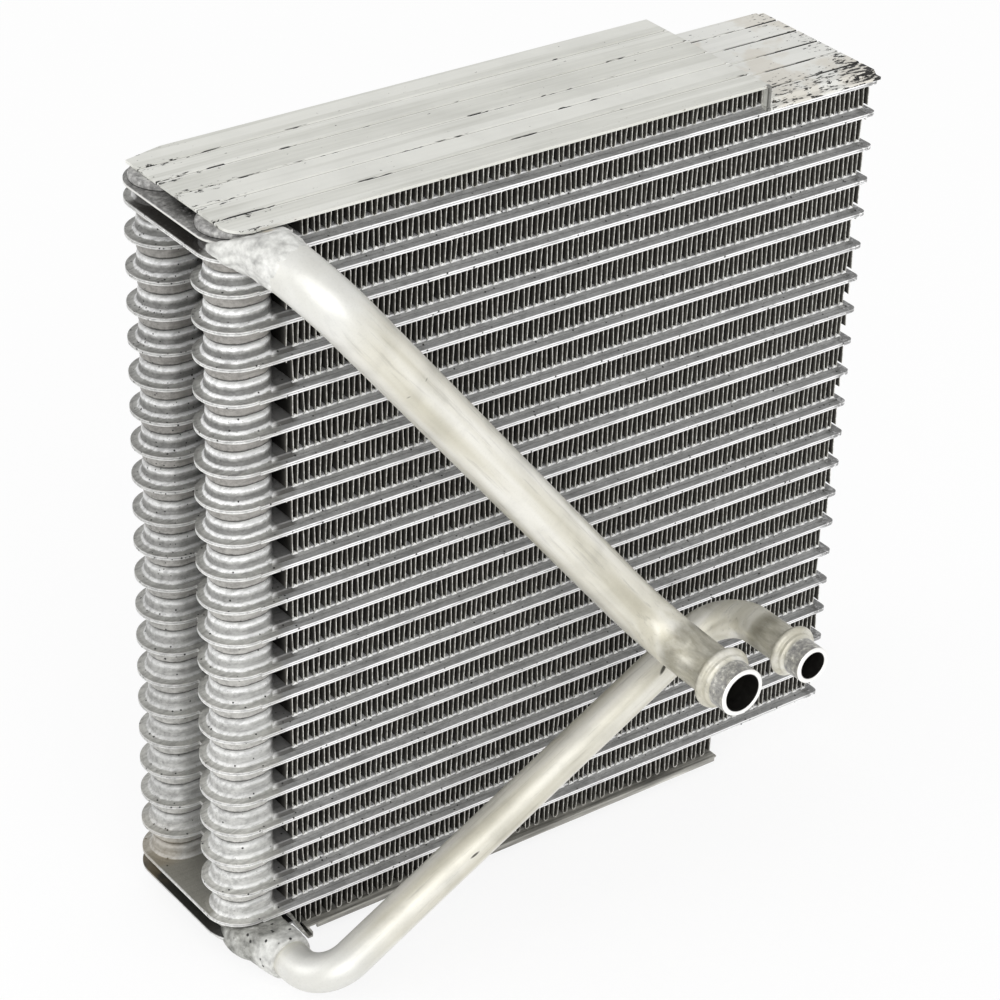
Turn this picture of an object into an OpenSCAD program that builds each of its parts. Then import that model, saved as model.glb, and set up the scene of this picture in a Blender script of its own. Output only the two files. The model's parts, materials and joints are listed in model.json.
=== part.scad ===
// Laminated plate-fin evaporator of a vehicle air-conditioning unit.
// Millimetres. X runs from the tank end to the far end, Y from the pipe side to the back,
// Z upwards. The frame's origin is the middle of the face that the bottom side plate
// stands on.

/* [Core] */
// Number of plate pairs, both end pairs included
pair_count = 21; // [9:1:24]
// Distance between the middle planes of neighbouring plate pairs
pair_pitch = 11.5; // [10.6:0.1:13]
// How much closer than that the topmost pair was pressed in brazing
top_press = 0.8; // [0:0.1:1.2]
// Length of the core plates, tank lobes included
core_len = 240.6; // [210:0.2:300]
// Depth of the core plates along the air flow
core_depth = 60; // [56:0.5:72]

/* [Pressed plates] */
// Thickness of one pressed core sheet
sheet_t = 0.6; // [0.4:0.05:0.8]
// Half the thickness of a plate pair, measured over its channels
pair_half = 1.85; // [1.6:0.05:2.3]
// Width of the flat brazing flange round a core sheet
flange_w = 1.7; // [1:0.1:2.4]
// Width of the sloping wall between the flange and the channels
slope_w = 1.7; // [1:0.1:2.4]
// Number of channels side by side in a plate pair
channel_count = 6; // [4:2:8]
// Width at the bottom of the groove that parts two channels
groove_w = 0.6; // [0.3:0.1:1.2]
// Sideways run of a groove wall for each millimetre of height
groove_slope = 0.35; // [0.1:0.05:0.6]
// Distance from the tank tip to where the straight plate edge begins
neck_x = 13; // [11:0.5:16]
// Length of the open turn chamber at the far end
turn_len = 14; // [8:1:24]
// Corner radius at the far end of a core plate
plate_corner = 2; // [1:0.5:4]

/* [Tank cups] */
// Radius of the round plate lobe that carries a cup
lobe_r = 11.5; // [10.5:0.1:12.5]
// Distance of the lobe's rim behind the straight plate edge
lobe_inset = 0.5; // [0:0.1:1.5]
// Outer radius of a pressed cup
cup_r = 8.3; // [7.6:0.1:8.8]
// Length of the straight stretch that makes the cup oblong
cup_span = 3; // [1:0.5:4]
// Rounding of the cup's shoulder
cup_round = 1.4; // [0.8:0.1:1.8]
// Radius of the hollow round at a cup's foot
foot_r = 2.2; // [1:0.1:2.3]
// Radius of the hole that links neighbouring cups
cup_hole_r = 5.8; // [4:0.1:6.2]
// Height of the shorter cups that meet the two tank caps
cap_rise = 5.2; // [4.8:0.1:5.6]

/* [Tank caps] */
// Thickness of the tank cap's sheet
cap_t = 0.9; // [0.7:0.1:1.2]
// Radius of the round dome pressed into the cap
dome_r = 10.2; // [9:0.1:10.6]
// Rounding of the dome's shoulder
dome_round = 1.3; // [0.8:0.1:1.4]
// Distance from the tank tip to the cap's straight inner end
cap_len = 24.1; // [20:0.1:24.2]

/* [Fins] */
// Distance between neighbouring fin walls
fin_gap = 1.95; // [1.6:0.05:3]
// Thickness of the fin strip
fin_t = 0.25; // [0.15:0.05:0.35]
// Distance of the fins behind the plate edges
fin_inset = 3.4; // [3:0.1:5]
// Distance from the tank tip to the first fin wall
fin_start = 23.3; // [23.2:0.1:30]
// Distance from the last possible fin wall to the far end
fin_stop = 2; // [1.5:0.1:8]

/* [Side plates] */
// Thickness of the two side plates
side_t = 0.9; // [0.7:0.1:1.5]
// Height of the fin layer under the top side plate
top_fin_h = 6.6; // [5:0.1:8]
// Height of the fin layer over the bottom side plate
bottom_fin_h = 7.4; // [7:0.1:9]
// Distance from the tank tip to the top side plate's end
top_plate_x = 4.5; // [2:0.5:9]
// Distance from the tank tip to the steps at the side plates' far ends
step_x = 195; // [150:1:205]
// Radius of the top side plate's front corner
top_corner_r = 7; // [4:0.5:10]
// Length of the slanted cut at the top side plate's back corner
back_cut_x = 13; // [5:0.5:16]
// Depth of that cut
back_cut_y = 3; // [1:0.5:5]
// Width of a lengthwise groove in a side plate
side_groove_w = 1.2; // [0.6:0.1:2]
// Depth of that groove
side_groove_d = 0.45; // [0.2:0.05:0.6]
// Depth of such a groove where the low deck dips into the end pair's grooves
deck_groove_d = 1.1; // [0.5:0.05:1.2]
// Outer rounding of the fold between the high part and the step
fold_r = 1.2; // [0.6:0.1:1.5]
// How far the low deck reaches past the core's far end
deck_over = 0.3; // [0:0.1:1]
// Sheet of the bottom side plate
bottom_t = 0.7; // [0.5:0.1:1]
// Distance from the tank tip to the bottom side plate's slanted end
bottom_plate_x = 22.3; // [22.3:0.1:26]
// Lean of that slanted end out of the vertical
slant_turn = 30; // [20:1:40]
// How far the lips along the slanted end's front and back stand in from it
slant_lip_w = 1; // [0.6:0.1:1.6]
// Width of the hem that the sheet is folded into below the slanted end
hem_w = 3; // [2.4:0.1:4]
// Depth of that hem below the plate
hem_drop = 4.4; // [2:0.1:4.8]
// Height of the lips along the bottom side plate's long edges
bottom_lip_h = 1.4; // [0.8:0.1:2]
// Length of the feet by which the bottom side plate is brazed on
foot_len = 1.5; // [1:0.1:4]
// Room that the slanted end leaves round the bottom pair's cups
cup_gap = 0.35; // [0.3:0.05:1]

/* [Suction pipe] */
// Outer diameter of the suction pipe
suction_od = 15.9; // [14:0.1:17.5]
// Wall of the suction pipe
suction_wall = 1.6; // [1:0.1:2.2]
// Distance of the pipe's root from the tank tip
suction_root_x = 12.4; // [11:0.1:14]
// Height of the pipe's axis above the top plate pair
suction_rise = 4.5; // [3.5:0.1:6]
// Distance of the run's tank end in front of the core
suction_run_near = 26.5; // [24:0.5:40]
// Distance of the run's far end in front of the core
suction_run_far = 28.6; // [25:0.1:40]
// Distance of the suction mouth from the tank tip
suction_mouth_x = 142.2; // [110:0.2:155]
// Height of the suction mouth above the bottom plate pair
suction_mouth_z = 75.9; // [72:0.1:110]
// Straight length between the suction pipe's second bend and its bead
suction_neck = 2.7; // [1:0.1:25]
// Bend radius at the tank, on the pipe's axis
suction_bend_near = 22; // [18:0.5:22]
// Bend radius at the mouth, on the pipe's axis
suction_bend_far = 26; // [18:0.5:27]

/* [Liquid pipe] */
// Outer diameter of the liquid pipe
liquid_od = 12.4; // [10:0.1:13]
// Wall of the liquid pipe
liquid_wall = 1.6; // [1:0.1:2.2]
// Distance of the pipe's root from the tank tip
liquid_root_x = 13.8; // [11:0.1:14]
// Depth of the pipe's axis below the bottom plate pair
liquid_drop = 5.7; // [5:0.1:6.5]
// Distance of the run's tank end in front of the core
liquid_run_near = 31; // [29.5:0.5:36]
// Distance of the run's far end in front of the core
liquid_run_far = 23; // [16:0.5:24]
// Distance of the liquid mouth from the tank tip
liquid_mouth_x = 173.4; // [165:0.2:200]
// Height of the liquid mouth above the bottom plate pair
liquid_mouth_z = 72.7; // [60:0.1:74]
// Straight length between the liquid pipe's second bend and its bead
liquid_neck = 15.6; // [1:0.1:40]
// Bend radius at the tank, on the pipe's axis
liquid_bend_near = 12.4; // [10:0.1:13]
// Bend radius at the mouth, on the pipe's axis
liquid_bend_far = 14.8; // [12:0.1:18]

/* [Pipe ends] */
// Length of the plain pilot in front of the bead
pilot_len = 8.6; // [6:0.1:12]
// Width of the rolled bead
bead_w = 3; // [2:0.1:4]
// How far the bead stands out from the pipe
bead_h = 2.4; // [1.5:0.1:3]

// Length of the low shoulder between bead and pilot
shoulder_len = 0.9; // [0.4:0.1:1.5]
// How far that shoulder stands out from the pipe
shoulder_h = 0.9; // [0.4:0.1:1.4]

/* [Pipe collars] */
// Wall of the suction collar round the pipe
suction_collar_wall = 1.2; // [1:0.1:2]
// Angle up to which the suction collar follows the pipe's first bend
suction_collar_turn = 40; // [24:1:60]
// Angle on that bend at which the suction pipe begins inside the collar
suction_root_turn = 10; // [6:1:16]
// Wall of the liquid collar round the pipe
liquid_collar_wall = 1.9; // [1.2:0.1:2.4]
// Distance of the liquid collar's rim in front of the core
liquid_collar_reach = 14.7; // [12:0.1:17]
// Radius to which a collar narrows where it meets the core
collar_neck_r = 5.2; // [4.5:0.1:5.4]
// Depth of the liquid pipe inside its collar
socket_depth = 5; // [3:0.5:7]
// Gap that the braze fills between a pipe and its collar
braze_gap = 0.05; // [0.02:0.01:0.1]
// Width of the passage between a collar and its tank
port_w = 9; // [5:0.5:10]
// Height of that passage
port_h = 3; // [2:0.1:3.4]

/* [Hidden] */
$fn = 48;
over = 0.5;
slab = 0.02;
lap = 0.3;
top_pair = pair_count - 1;
base_z = pair_half + bottom_fin_h + bottom_t + bottom_lip_h;
lobe_x = lobe_r;
front_y = lobe_inset + lobe_r;
back_y = core_depth - lobe_inset - lobe_r;
pan_x = neck_x + 4.5;
channel_w = core_depth / channel_count;
groove_x = fin_start + 3;
groove_end_x = core_len - flange_w - turn_len;
groove_t = groove_w / 2 + groove_slope * (pair_half - sheet_t);
cavity_h = pair_half - sheet_t;
pan_lean = slope_w / pair_half;
pan_wall = sheet_t * sqrt(1 + pan_lean * pan_lean);
web_wall = sheet_t * sqrt(1 + groove_slope * groove_slope);
side_z = pair_z(top_pair) + pair_half + top_fin_h;
cap_z = pair_z(top_pair) + cap_rise;
bottom_side_z = -pair_half - bottom_fin_h;
bottom_under_z = bottom_side_z - bottom_t;
hem_z = bottom_under_z - hem_drop;
hem_x = lean_x(bottom_under_z) + hem_w;
lip_x = lean_x(hem_z) + hem_w + over;
suction_z = pair_z(top_pair) + suction_rise;
suction_a = [suction_root_x, -suction_run_near, suction_z];
suction_b = [suction_mouth_x, -suction_run_far, suction_mouth_z];
liquid_a = [liquid_root_x, -liquid_run_near, -liquid_drop];
liquid_b = [liquid_mouth_x, -liquid_run_far, liquid_mouth_z];
out_way = [0, -1, 0];
suction_way = unit(suction_b - suction_a);
liquid_way = unit(liquid_b - liquid_a);
suction_start_y = bend_step(out_way, suction_way, suction_bend_near) - suction_run_near;
suction_collar_r = suction_od / 2 + suction_collar_wall;
liquid_collar_r = liquid_od / 2 + liquid_collar_wall;
port_z = (sheet_t + cap_rise) / 2;

function pair_z(k) = k * pair_pitch - (k == top_pair ? top_press : 0);
function fin_bottom(k) = k == 0 ? bottom_side_z : pair_z(k - 1) + pair_half;
function fin_top(k) = k == pair_count ? side_z : pair_z(k) - pair_half;
function fin_from(k) = k == 0 ? bottom_plate_x + foot_len + 2 * fin_t
    : k == pair_count ? cap_len + 2.4 : fin_start;
function fin_to(k) = k == 0 || k == pair_count ? step_x - 0.6 : core_len - fin_stop;
function cup_height(k, up) =
    up ? (k == top_pair ? cap_rise : (pair_z(k + 1) - pair_z(k)) / 2)
       : (k == 0 ? cap_rise : (pair_z(k) - pair_z(k - 1)) / 2);
function lean_x(z) = bottom_plate_x - tan(slant_turn) * (z + pair_half);
function fin_low(k, x) = k > 0 ? fin_bottom(k) : max(bottom_side_z, fin_t - pair_half
    - (x - bottom_plate_x - bottom_t / cos(slant_turn)) / tan(slant_turn));
function beside(v) = [v.y, -v.x];
function path_way(path, i) = unit(path[i + 1] - path[i]);
function path_side(path, i, t) = let (last = len(path) - 1,
    a = beside(path_way(path, max(i - 1, 0))), b = beside(path_way(path, min(i, last - 1))))
    path[i] + (a + b) * t / (1 + a * b);
function unit(v) = v / norm(v);
function bend_step(u, w, bend) = bend * tan(acos(u * w) / 2);
function pair_name(k) = k == 0 ? "bottom_end_pair"
    : k == top_pair ? "top_end_pair" : str("plate_pair_", k);
function fin_name(k) = k == 0 ? "bottom_fin_layer"
    : k == pair_count ? "top_fin_layer" : str("fin_layer_", k);

// Carries the core's own axes, with their origin at the tank tip's front corner in the
// bottom pair's middle plane, to the frame, whose origin is the middle of the bottom side
// plate's front lip, on the lip's lower face.
module in_frame() {
    translate([-core_len / 2, -bottom_t / 2, base_z]) children();
}

// Folded sheet of thickness t along a path drawn as (X, Z), on the path's right side.
module folded_sheet(path, t) {
    last = len(path) - 1;
    polygon(concat(path, [for (i = [last : -1 : 0]) path_side(path, i, t)]));
}

// Extrudes a profile drawn as (Y, Z) along X, from x0 to x1.
module along_x(x0, x1) {
    translate([x0, 0, 0]) rotate([90, 0, 90]) linear_extrude(x1 - x0) children();
}

// Extrudes a profile drawn as (X, Z) along Y, from y0 to y1.
module along_y(y0, y1) {
    translate([0, y1, 0]) rotate([90, 0, 0]) linear_extrude(y1 - y0) children();
}

// Turns a half profile drawn as (radius, Z) into an oblong body: two half turns and a
// straight stretch between them.
module oblong_turn(span) {
    rotate([0, 0, 90]) rotate_extrude(angle = 180) children();
    translate([span, 0, 0]) rotate([0, 0, -90]) rotate_extrude(angle = 180) children();
    along_x(0, span) {
        children();
        mirror([1, 0]) children();
    }
}

// Outline of a core sheet. The end pairs keep the stretch between their lobes.
module plate_outline(is_end) {
    for (y = [front_y, back_y]) translate([lobe_x, y]) circle(lobe_r, $fn = 96);
    translate([neck_x, 0]) square([core_len - neck_x - plate_corner, core_depth]);
    translate([neck_x, plate_corner])
        square([core_len - neck_x, core_depth - 2 * plate_corner]);
    for (y = [plate_corner, core_depth - plate_corner])
        translate([core_len - plate_corner, y]) circle(plate_corner);
    if (is_end) translate([lobe_x - lobe_r, front_y]) square([neck_x, back_y - front_y]);
}

// Hexagonal section of a plate pair's channels between two feet, at a given half height.
module pan_section(from, to, half, lean) {
    polygon([[from, 0], [from + lean * half, half], [to - lean * half, half],
        [to, 0], [to - lean * half, -half], [from + lean * half, -half]]);
}

// Body that both sheets of a pair bulge out to, shrunk by inset for its hollow.
module pan_body(inset, half) {
    intersection() {
        along_x(pan_x, core_len) pan_section(flange_w + inset,
            core_depth - flange_w - inset, half, pan_lean);
        along_y(0, core_depth) pan_section(pan_x + inset,
            core_len - flange_w - inset, half, pan_lean);
    }
}

// Grooves between the channels, on the upper and the lower sheet.
module channel_grooves() {
    g = groove_w / 2;
    o = groove_t + groove_slope * over;
    for (i = [1 : channel_count - 1], side = [1, -1])
        along_x(groove_x, groove_end_x) translate([i * channel_w, 0])
            scale([1, side]) polygon([[-o, pair_half + over], [-g, sheet_t],
                [g, sheet_t], [o, pair_half + over]]);
}

// Webs left standing in the hollow where two grooves meet. The middle one parts the
// two tanks, so it reaches on to the lobes.
module channel_webs() {
    narrow = groove_w / 2 - groove_slope * sheet_t + web_wall;
    wide = narrow + groove_slope * (cavity_h + over);
    h = cavity_h + over;
    for (i = [1 : channel_count - 1])
        along_x(2 * i == channel_count ? neck_x : groove_x - web_wall,
                groove_end_x + web_wall)
            translate([i * channel_w, 0]) polygon([[-wide, -h], [-narrow, 0],
                [-wide, h], [wide, h], [narrow, 0], [wide, -h]]);
}

// Half profile of a cup's outside.
module cup_profile(h) {
    polygon(concat([[0, 0], [cup_r + foot_r, 0]], [for (a = [0 : 30 : 90])
        [cup_r + foot_r * (1 - sin(a)), sheet_t + foot_r * (1 - cos(a))]],
        [[cup_r, h - cup_round], [0, h - cup_round]]));
    translate([0, h - cup_round - slab]) square([cup_r - cup_round, cup_round + slab]);
    intersection() {
        translate([cup_r - cup_round, h - cup_round]) circle(cup_round);
        translate([cup_r - cup_round - slab, h - cup_round - slab])
            square(2 * cup_round);
    }
}

// Half profile of a cup's hollow, with the hole in its top.
module cup_hollow_profile(h) {
    polygon([[0, 0], [cup_r - sheet_t, 0], [cup_r - sheet_t, h - sheet_t],
        [cup_hole_r, h - sheet_t], [cup_hole_r, h + over], [0, h + over]]);
}

// Passage from a pipe's collar through the front wall of the cup beside it.
module port(y0, y1) {
    along_y(y0, y1) translate([lobe_x + cup_span / 2, 0]) {
        square([port_w - port_h, port_h], center = true);
        for (s = [-1, 1]) translate([s * (port_w - port_h) / 2, 0])
            circle(d = port_h);
    }
}

module plate_pair(k) {
    is_end = k == 0 || k == top_pair;
    up = cup_height(k, true);
    down = cup_height(k, false);
    in_frame() translate([0, 0, pair_z(k)]) color([0.79, 0.79, 0.78]) difference() {
        union() {
            translate([0, 0, -sheet_t]) linear_extrude(2 * sheet_t)
                plate_outline(is_end);
            difference() {
                pan_body(0, pair_half);
                channel_grooves();
            }
            for (y = [front_y, back_y]) translate([lobe_x, y, 0]) {
                oblong_turn(cup_span) cup_profile(up);
                mirror([0, 0, 1]) oblong_turn(cup_span) cup_profile(down);
            }
        }
        difference() {
            pan_body(pan_wall, cavity_h);
            channel_webs();
        }
        for (y = [front_y, back_y]) translate([lobe_x, y, 0]) {
            oblong_turn(cup_span) cup_hollow_profile(up);
            mirror([0, 0, 1]) oblong_turn(cup_span) cup_hollow_profile(down);
        }
        if (k == top_pair) translate([0, 0, port_z]) port(-over, front_y);
        if (k == 0) translate([0, 0, -port_z]) port(-over, front_y);
    }
}

// Corrugated strip: its closed outline runs out along the left side of the strip's path
// and comes back along the right side. Its walls are spaced so that it fills its layer,
// and in the bottom layer its first feet follow the slanted end of the side plate.
module fin_layer(k) {
    x0 = fin_from(k);
    last = 2 * round(((fin_to(k) - x0) / fin_gap - 1) / 2) + 1;
    gap = (fin_to(k) - x0) / last;
    high = fin_top(k);
    h = fin_t / 2;
    low = [for (i = [0 : 2 : last + 1]) fin_low(k, x0 + max(i - 1, 0) * gap - h)];
    out = [for (i = [0 : 2 : last]) let (x = x0 + i * gap, n = x + gap)
        each [[x - h, low[i / 2] + (i == 0 ? 0 : fin_t)], [x - h, high], [n + h, high],
            [n + h, low[i / 2 + 1] + (i + 1 == last ? 0 : fin_t)]]];
    back = [for (i = [last - 1 : -2 : 0]) let (x = x0 + i * gap, n = x + gap)
        each [[n - h, low[i / 2 + 1]], [n - h, high - fin_t], [x + h, high - fin_t],
            [x + h, low[i / 2]]]];
    in_frame() color([0.62, 0.62, 0.61])
        along_y(fin_inset, core_depth - fin_inset) polygon(concat(out, back));
}

// Outline of a tank cap's flange: the end plate's tank end, cut straight.
module cap_outline() {
    for (y = [front_y, back_y]) translate([lobe_x, y]) circle(lobe_r, $fn = 96);
    translate([lobe_x - lobe_r, front_y]) square([lobe_r, back_y - front_y]);
    translate([lobe_x, lobe_inset])
        square([cap_len - lobe_x, core_depth - 2 * lobe_inset]);
}

// Half profile of a dome of radius r and height h, with a rounded shoulder.
module dome_profile(r, h, round_r) {
    square([r, h - round_r]);
    square([r - round_r, h]);
    intersection() {
        translate([r - round_r, h - round_r]) circle(round_r);
        translate([r - round_r - slab, h - round_r - slab]) square(2 * round_r);
    }
}

// A tank cap with its flange's face at height 0 and its domes upwards. The flange closes in
// on the cups' tops, and the domes are hollow above it.
module tank_cap(rise) {
    difference() {
        union() {
            linear_extrude(cap_t) cap_outline();
            for (y = [front_y, back_y]) translate([lobe_x, y, 0])
                rotate_extrude() dome_profile(dome_r, rise, dome_round);
        }
        for (y = [front_y, back_y]) translate([lobe_x, y, 0]) rotate_extrude() {
            translate([0, -over]) square([cup_hole_r, cap_t + 2 * over]);
            translate([0, cap_t]) square([dome_r - cap_t, rise - 2 * cap_t]);
        }
    }
}

module top_tank_cap() {
    in_frame() translate([0, 0, cap_z]) color([0.82, 0.82, 0.81])
        tank_cap(side_z - cap_z);
}

module bottom_tank_cap() {
    in_frame() translate([0, 0, -cap_rise]) color([0.82, 0.82, 0.81])
        mirror([0, 0, 1]) tank_cap(side_z - cap_z);
}

// Lengthwise grooves to take off a side plate whose outer face is at height 0.
module side_grooves(depth) {
    for (i = [1 : channel_count - 1]) translate([i * channel_w, 0])
        polygon([[-side_groove_w / 2, over], [-side_groove_w / 2, 0],
            [-groove_w / 4, -depth], [groove_w / 4, -depth], [side_groove_w / 2, 0],
            [side_groove_w / 2, over]]);
}

// Section of the low deck, which hugs the end pair's flanges, slopes and channels.
module deck_section() {
    foot = flange_w + pan_lean * sheet_t;
    crest = flange_w + slope_w;
    drop = cavity_h;
    translate([crest, 0]) square([core_depth - 2 * crest, side_t]);
    for (m = [0, 1]) translate([m * core_depth, 0]) mirror([m, 0])
        polygon([[0, -drop], [foot, -drop], [crest, 0], [crest + slab, 0],
            [crest + slab, side_t], [crest, side_t], [foot, side_t - drop],
            [0, side_t - drop]]);
}

// Ribs under the deck, where its grooves are folded down into the end pair's own.
module deck_ribs() {
    wide = groove_t - 0.1;
    deep = min(deck_groove_d, cavity_h - 0.2);
    narrow = wide - groove_slope * deep;
    for (i = [1 : channel_count - 1]) translate([i * channel_w, 0])
        polygon([[-wide, slab], [-wide, 0], [-narrow, -deep], [narrow, -deep], [wide, 0],
            [wide, slab]]);
}

// Outline of the top side plate's high part, with its rounded and its cut corner.
module top_plate_outline() {
    difference() {
        union() {
            translate([top_plate_x + top_corner_r, 0])
                square([step_x + side_t - top_plate_x - top_corner_r, core_depth]);
            translate([top_plate_x, top_corner_r])
                square([top_corner_r + slab, core_depth - top_corner_r]);
            translate([top_plate_x + top_corner_r, top_corner_r])
                circle(top_corner_r, $fn = 96);
        }
        translate([top_plate_x, core_depth]) polygon([[-over, -back_cut_y],
            [0, -back_cut_y], [back_cut_x, 0], [back_cut_x, over], [-over, over]]);
    }
}

module top_side_plate() {
    deck_z = pair_z(top_pair) + pair_half;
    rib_end = groove_end_x - lap;
    in_frame() color([0.86, 0.86, 0.84]) {
        translate([0, 0, side_z]) difference() {
            union() {
                linear_extrude(side_t) top_plate_outline();
                translate([step_x, 0, deck_z - side_z])
                    cube([side_t, core_depth, side_z - deck_z + slab]);
            }
            translate([0, 0, side_t]) along_x(top_plate_x, step_x - side_t)
                side_grooves(side_groove_d);
            along_y(-over, core_depth + over) fold_round();
        }
        translate([0, 0, deck_z]) difference() {
            union() {
                along_x(step_x, core_len + deck_over) deck_section();
                along_x(step_x, rib_end) deck_ribs();
            }
            translate([0, 0, side_t]) {
                along_x(step_x + side_t, rib_end - side_t) side_grooves(deck_groove_d);
                along_x(rib_end - 2 * side_t, core_len + 1) side_grooves(side_groove_d);
            }
        }
    }
}

// What the fold between the high part and the step leaves off a square corner.
module fold_round() {
    translate([step_x + side_t, side_t]) difference() {
        translate([-fold_r, -fold_r]) square(fold_r + over);
        translate([-fold_r, -fold_r]) circle(fold_r);
    }
}

// Path of the bottom side plate's under side, from the far end round the hem and up the
// slanted end to its foot.
function bottom_path() = [[step_x + bottom_t, bottom_under_z], [hem_x, bottom_under_z],
    [lean_x(hem_z) + hem_w, hem_z], [lean_x(hem_z), hem_z], [bottom_plate_x, -pair_half],
    [bottom_plate_x + foot_len, -pair_half]];

// Front and back lip of the slanted end, which stand up to the end pair's flange.
module slant_lip() {
    polygon([[lean_x(-sheet_t), -sheet_t], [lean_x(-sheet_t) + slant_lip_w, -sheet_t],
        [lean_x(bottom_side_z) + slant_lip_w, bottom_side_z],
        [lean_x(bottom_side_z), bottom_side_z]]);
}

// Section of that end, as far up as top_z: the hem, the slanted sheet and its foot.
module bottom_end_strip(top_z) {
    intersection() {
        folded_sheet(bottom_path(), bottom_t);
        translate([0, hem_z - over]) square([hem_x + 2 * bottom_t, top_z - hem_z + over]);
    }
}

module bottom_side_plate() {
    foot_y = flange_w + slope_w;
    in_frame() color([0.84, 0.84, 0.82]) {
        along_x(hem_x + bottom_t, step_x + bottom_t) translate([0, bottom_under_z])
            mirror([0, 1]) difference() {
                translate([0, -bottom_t]) square([core_depth, bottom_t]);
                side_grooves(side_groove_d);
            }
        difference() {
            union() {
                along_y(0, core_depth) bottom_end_strip(-pair_half - over);
                along_y(foot_y, core_depth - foot_y) bottom_end_strip(0);
            }
            for (y = [front_y, back_y]) translate([lobe_x + cup_span, y, -cap_rise])
                cylinder(h = cap_rise, r = cup_r + cup_gap);
        }
        along_y(foot_y, core_depth - foot_y) {
            translate([step_x, bottom_under_z])
                square([bottom_t, -pair_half - bottom_under_z]);
            translate([step_x, -pair_half - bottom_t]) square([foot_len + 4, bottom_t]);
        }
        for (y = [0, core_depth - bottom_t]) {
            along_y(y, y + bottom_t) slant_lip();
            translate([lip_x, y, bottom_under_z - bottom_lip_h])
                cube([step_x - lip_x, bottom_t, bottom_lip_h + slab]);
        }
    }
}

// Straight length of pipe from a to b.
module pipe_run(a, b, r, wall) {
    v = b - a;
    translate(a) rotate([0, acos(v.z / norm(v)), atan2(v.y, v.x)])
        linear_extrude(norm(v)) difference() {
            circle(r);
            circle(r - wall);
        }
}

// Places a turn drawn about Z, with its start on +X, on the bend at corner c that leads
// from direction u to direction w.
module at_bend(c, u, w, bend) {
    start = c - u * bend_step(u, w, bend);
    side = unit(w - u * (u * w));
    mid = start + side * bend;
    up = cross(-side, u);
    multmatrix([[-side.x, u.x, up.x, mid.x], [-side.y, u.y, up.y, mid.y],
        [-side.z, u.z, up.z, mid.z], [0, 0, 0, 1]]) children();
}

// Bend at corner c, from the angle begin to its end. Its wall is a trace thicker than the
// straight runs, which reach a little into it.
module pipe_bend(c, u, w, bend, r, wall, begin = 0) {
    at_bend(c, u, w, bend) rotate([0, 0, begin])
        rotate_extrude(angle = acos(u * w) - begin) translate([bend, 0]) difference() {
            circle(r + slab);
            circle(r - wall - slab);
        }
}

// Beaded pipe end that points to -Y, from y0 to its mouth at y1.
module pipe_end(x, z, y0, y1, r, wall) {
    bead_y = y0 - y1 - pilot_len - bead_w;
    translate([x, y0, z]) rotate([90, 0, 0]) rotate_extrude() difference() {
        union() {
            square([r, y0 - y1]);
            translate([0, bead_y]) square([r + bead_h - bead_w / 2, bead_w]);
            translate([0, bead_y]) square([r + shoulder_h, bead_w + shoulder_len]);
            translate([r + bead_h - bead_w / 2, bead_y + bead_w / 2])
                circle(d = bead_w);
        }
        translate([-over, -over]) square([r - wall + over, y0 - y1 + 2 * over]);
    }
}

// The rest of a pipe behind its first bend: across the front from corner a to corner b,
// round the second bend, and towards -Y past its neck and bead to its mouth.
module pipe_beyond(a, b, way, neck, bend_a, bend_b, r, wall) {
    step_a = bend_step(out_way, way, bend_a);
    step_b = bend_step(way, out_way, bend_b);
    bend_end = b.y - step_b;
    pipe_run(a + way * (step_a - lap), b - way * (step_b - lap), r, wall);
    pipe_bend(b, way, out_way, bend_b, r, wall);
    pipe_end(b.x, b.z, bend_end + lap, bend_end - neck - bead_w - pilot_len, r, wall);
}

module suction_pipe() {
    in_frame() color([0.87, 0.86, 0.83]) {
        pipe_bend(suction_a, out_way, suction_way, suction_bend_near, suction_od / 2,
            suction_wall, suction_root_turn);
        pipe_beyond(suction_a, suction_b, suction_way, suction_neck, suction_bend_near,
            suction_bend_far, suction_od / 2, suction_wall);
    }
}

module liquid_pipe() {
    root = [liquid_a.x, socket_depth - liquid_collar_reach, liquid_a.z];
    start = liquid_a - out_way * (bend_step(out_way, liquid_way, liquid_bend_near) - lap);
    in_frame() color([0.87, 0.86, 0.83]) {
        pipe_run(root, start, liquid_od / 2, liquid_wall);
        pipe_bend(liquid_a, out_way, liquid_way, liquid_bend_near, liquid_od / 2,
            liquid_wall);
        pipe_beyond(liquid_a, liquid_b, liquid_way, liquid_neck, liquid_bend_near,
            liquid_bend_far, liquid_od / 2, liquid_wall);
    }
}

// Neck of a collar: a cone that narrows towards the core, and the braze between the
// flanges in front of the cup. It is drawn for a tank above its plate pair, with z the
// height of the pipe's axis over that pair.
module collar_neck(x, z, r, length) {
    translate([x, 0, z]) rotate([90, 0, 0]) rotate_extrude() polygon([[0, 0],
        [collar_neck_r, 0], [r, length - lap], [r, length], [0, length]]);
    translate([x - collar_neck_r, -over, sheet_t])
        cube([2 * collar_neck_r, front_y - cup_r + 1 + over, cap_rise - sheet_t]);
}

// What a collar leaves free: the end pair with its cup, and the passage to the tank.
module collar_clearance(reach) {
    translate([lobe_x, front_y, 0]) oblong_turn(cup_span) cup_profile(cap_rise);
    translate([0, 0, -over]) linear_extrude(over + sheet_t) plate_outline(true);
    pan_body(0, pair_half);
    translate([0, 0, port_z]) port(-reach, front_y);
}

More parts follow.
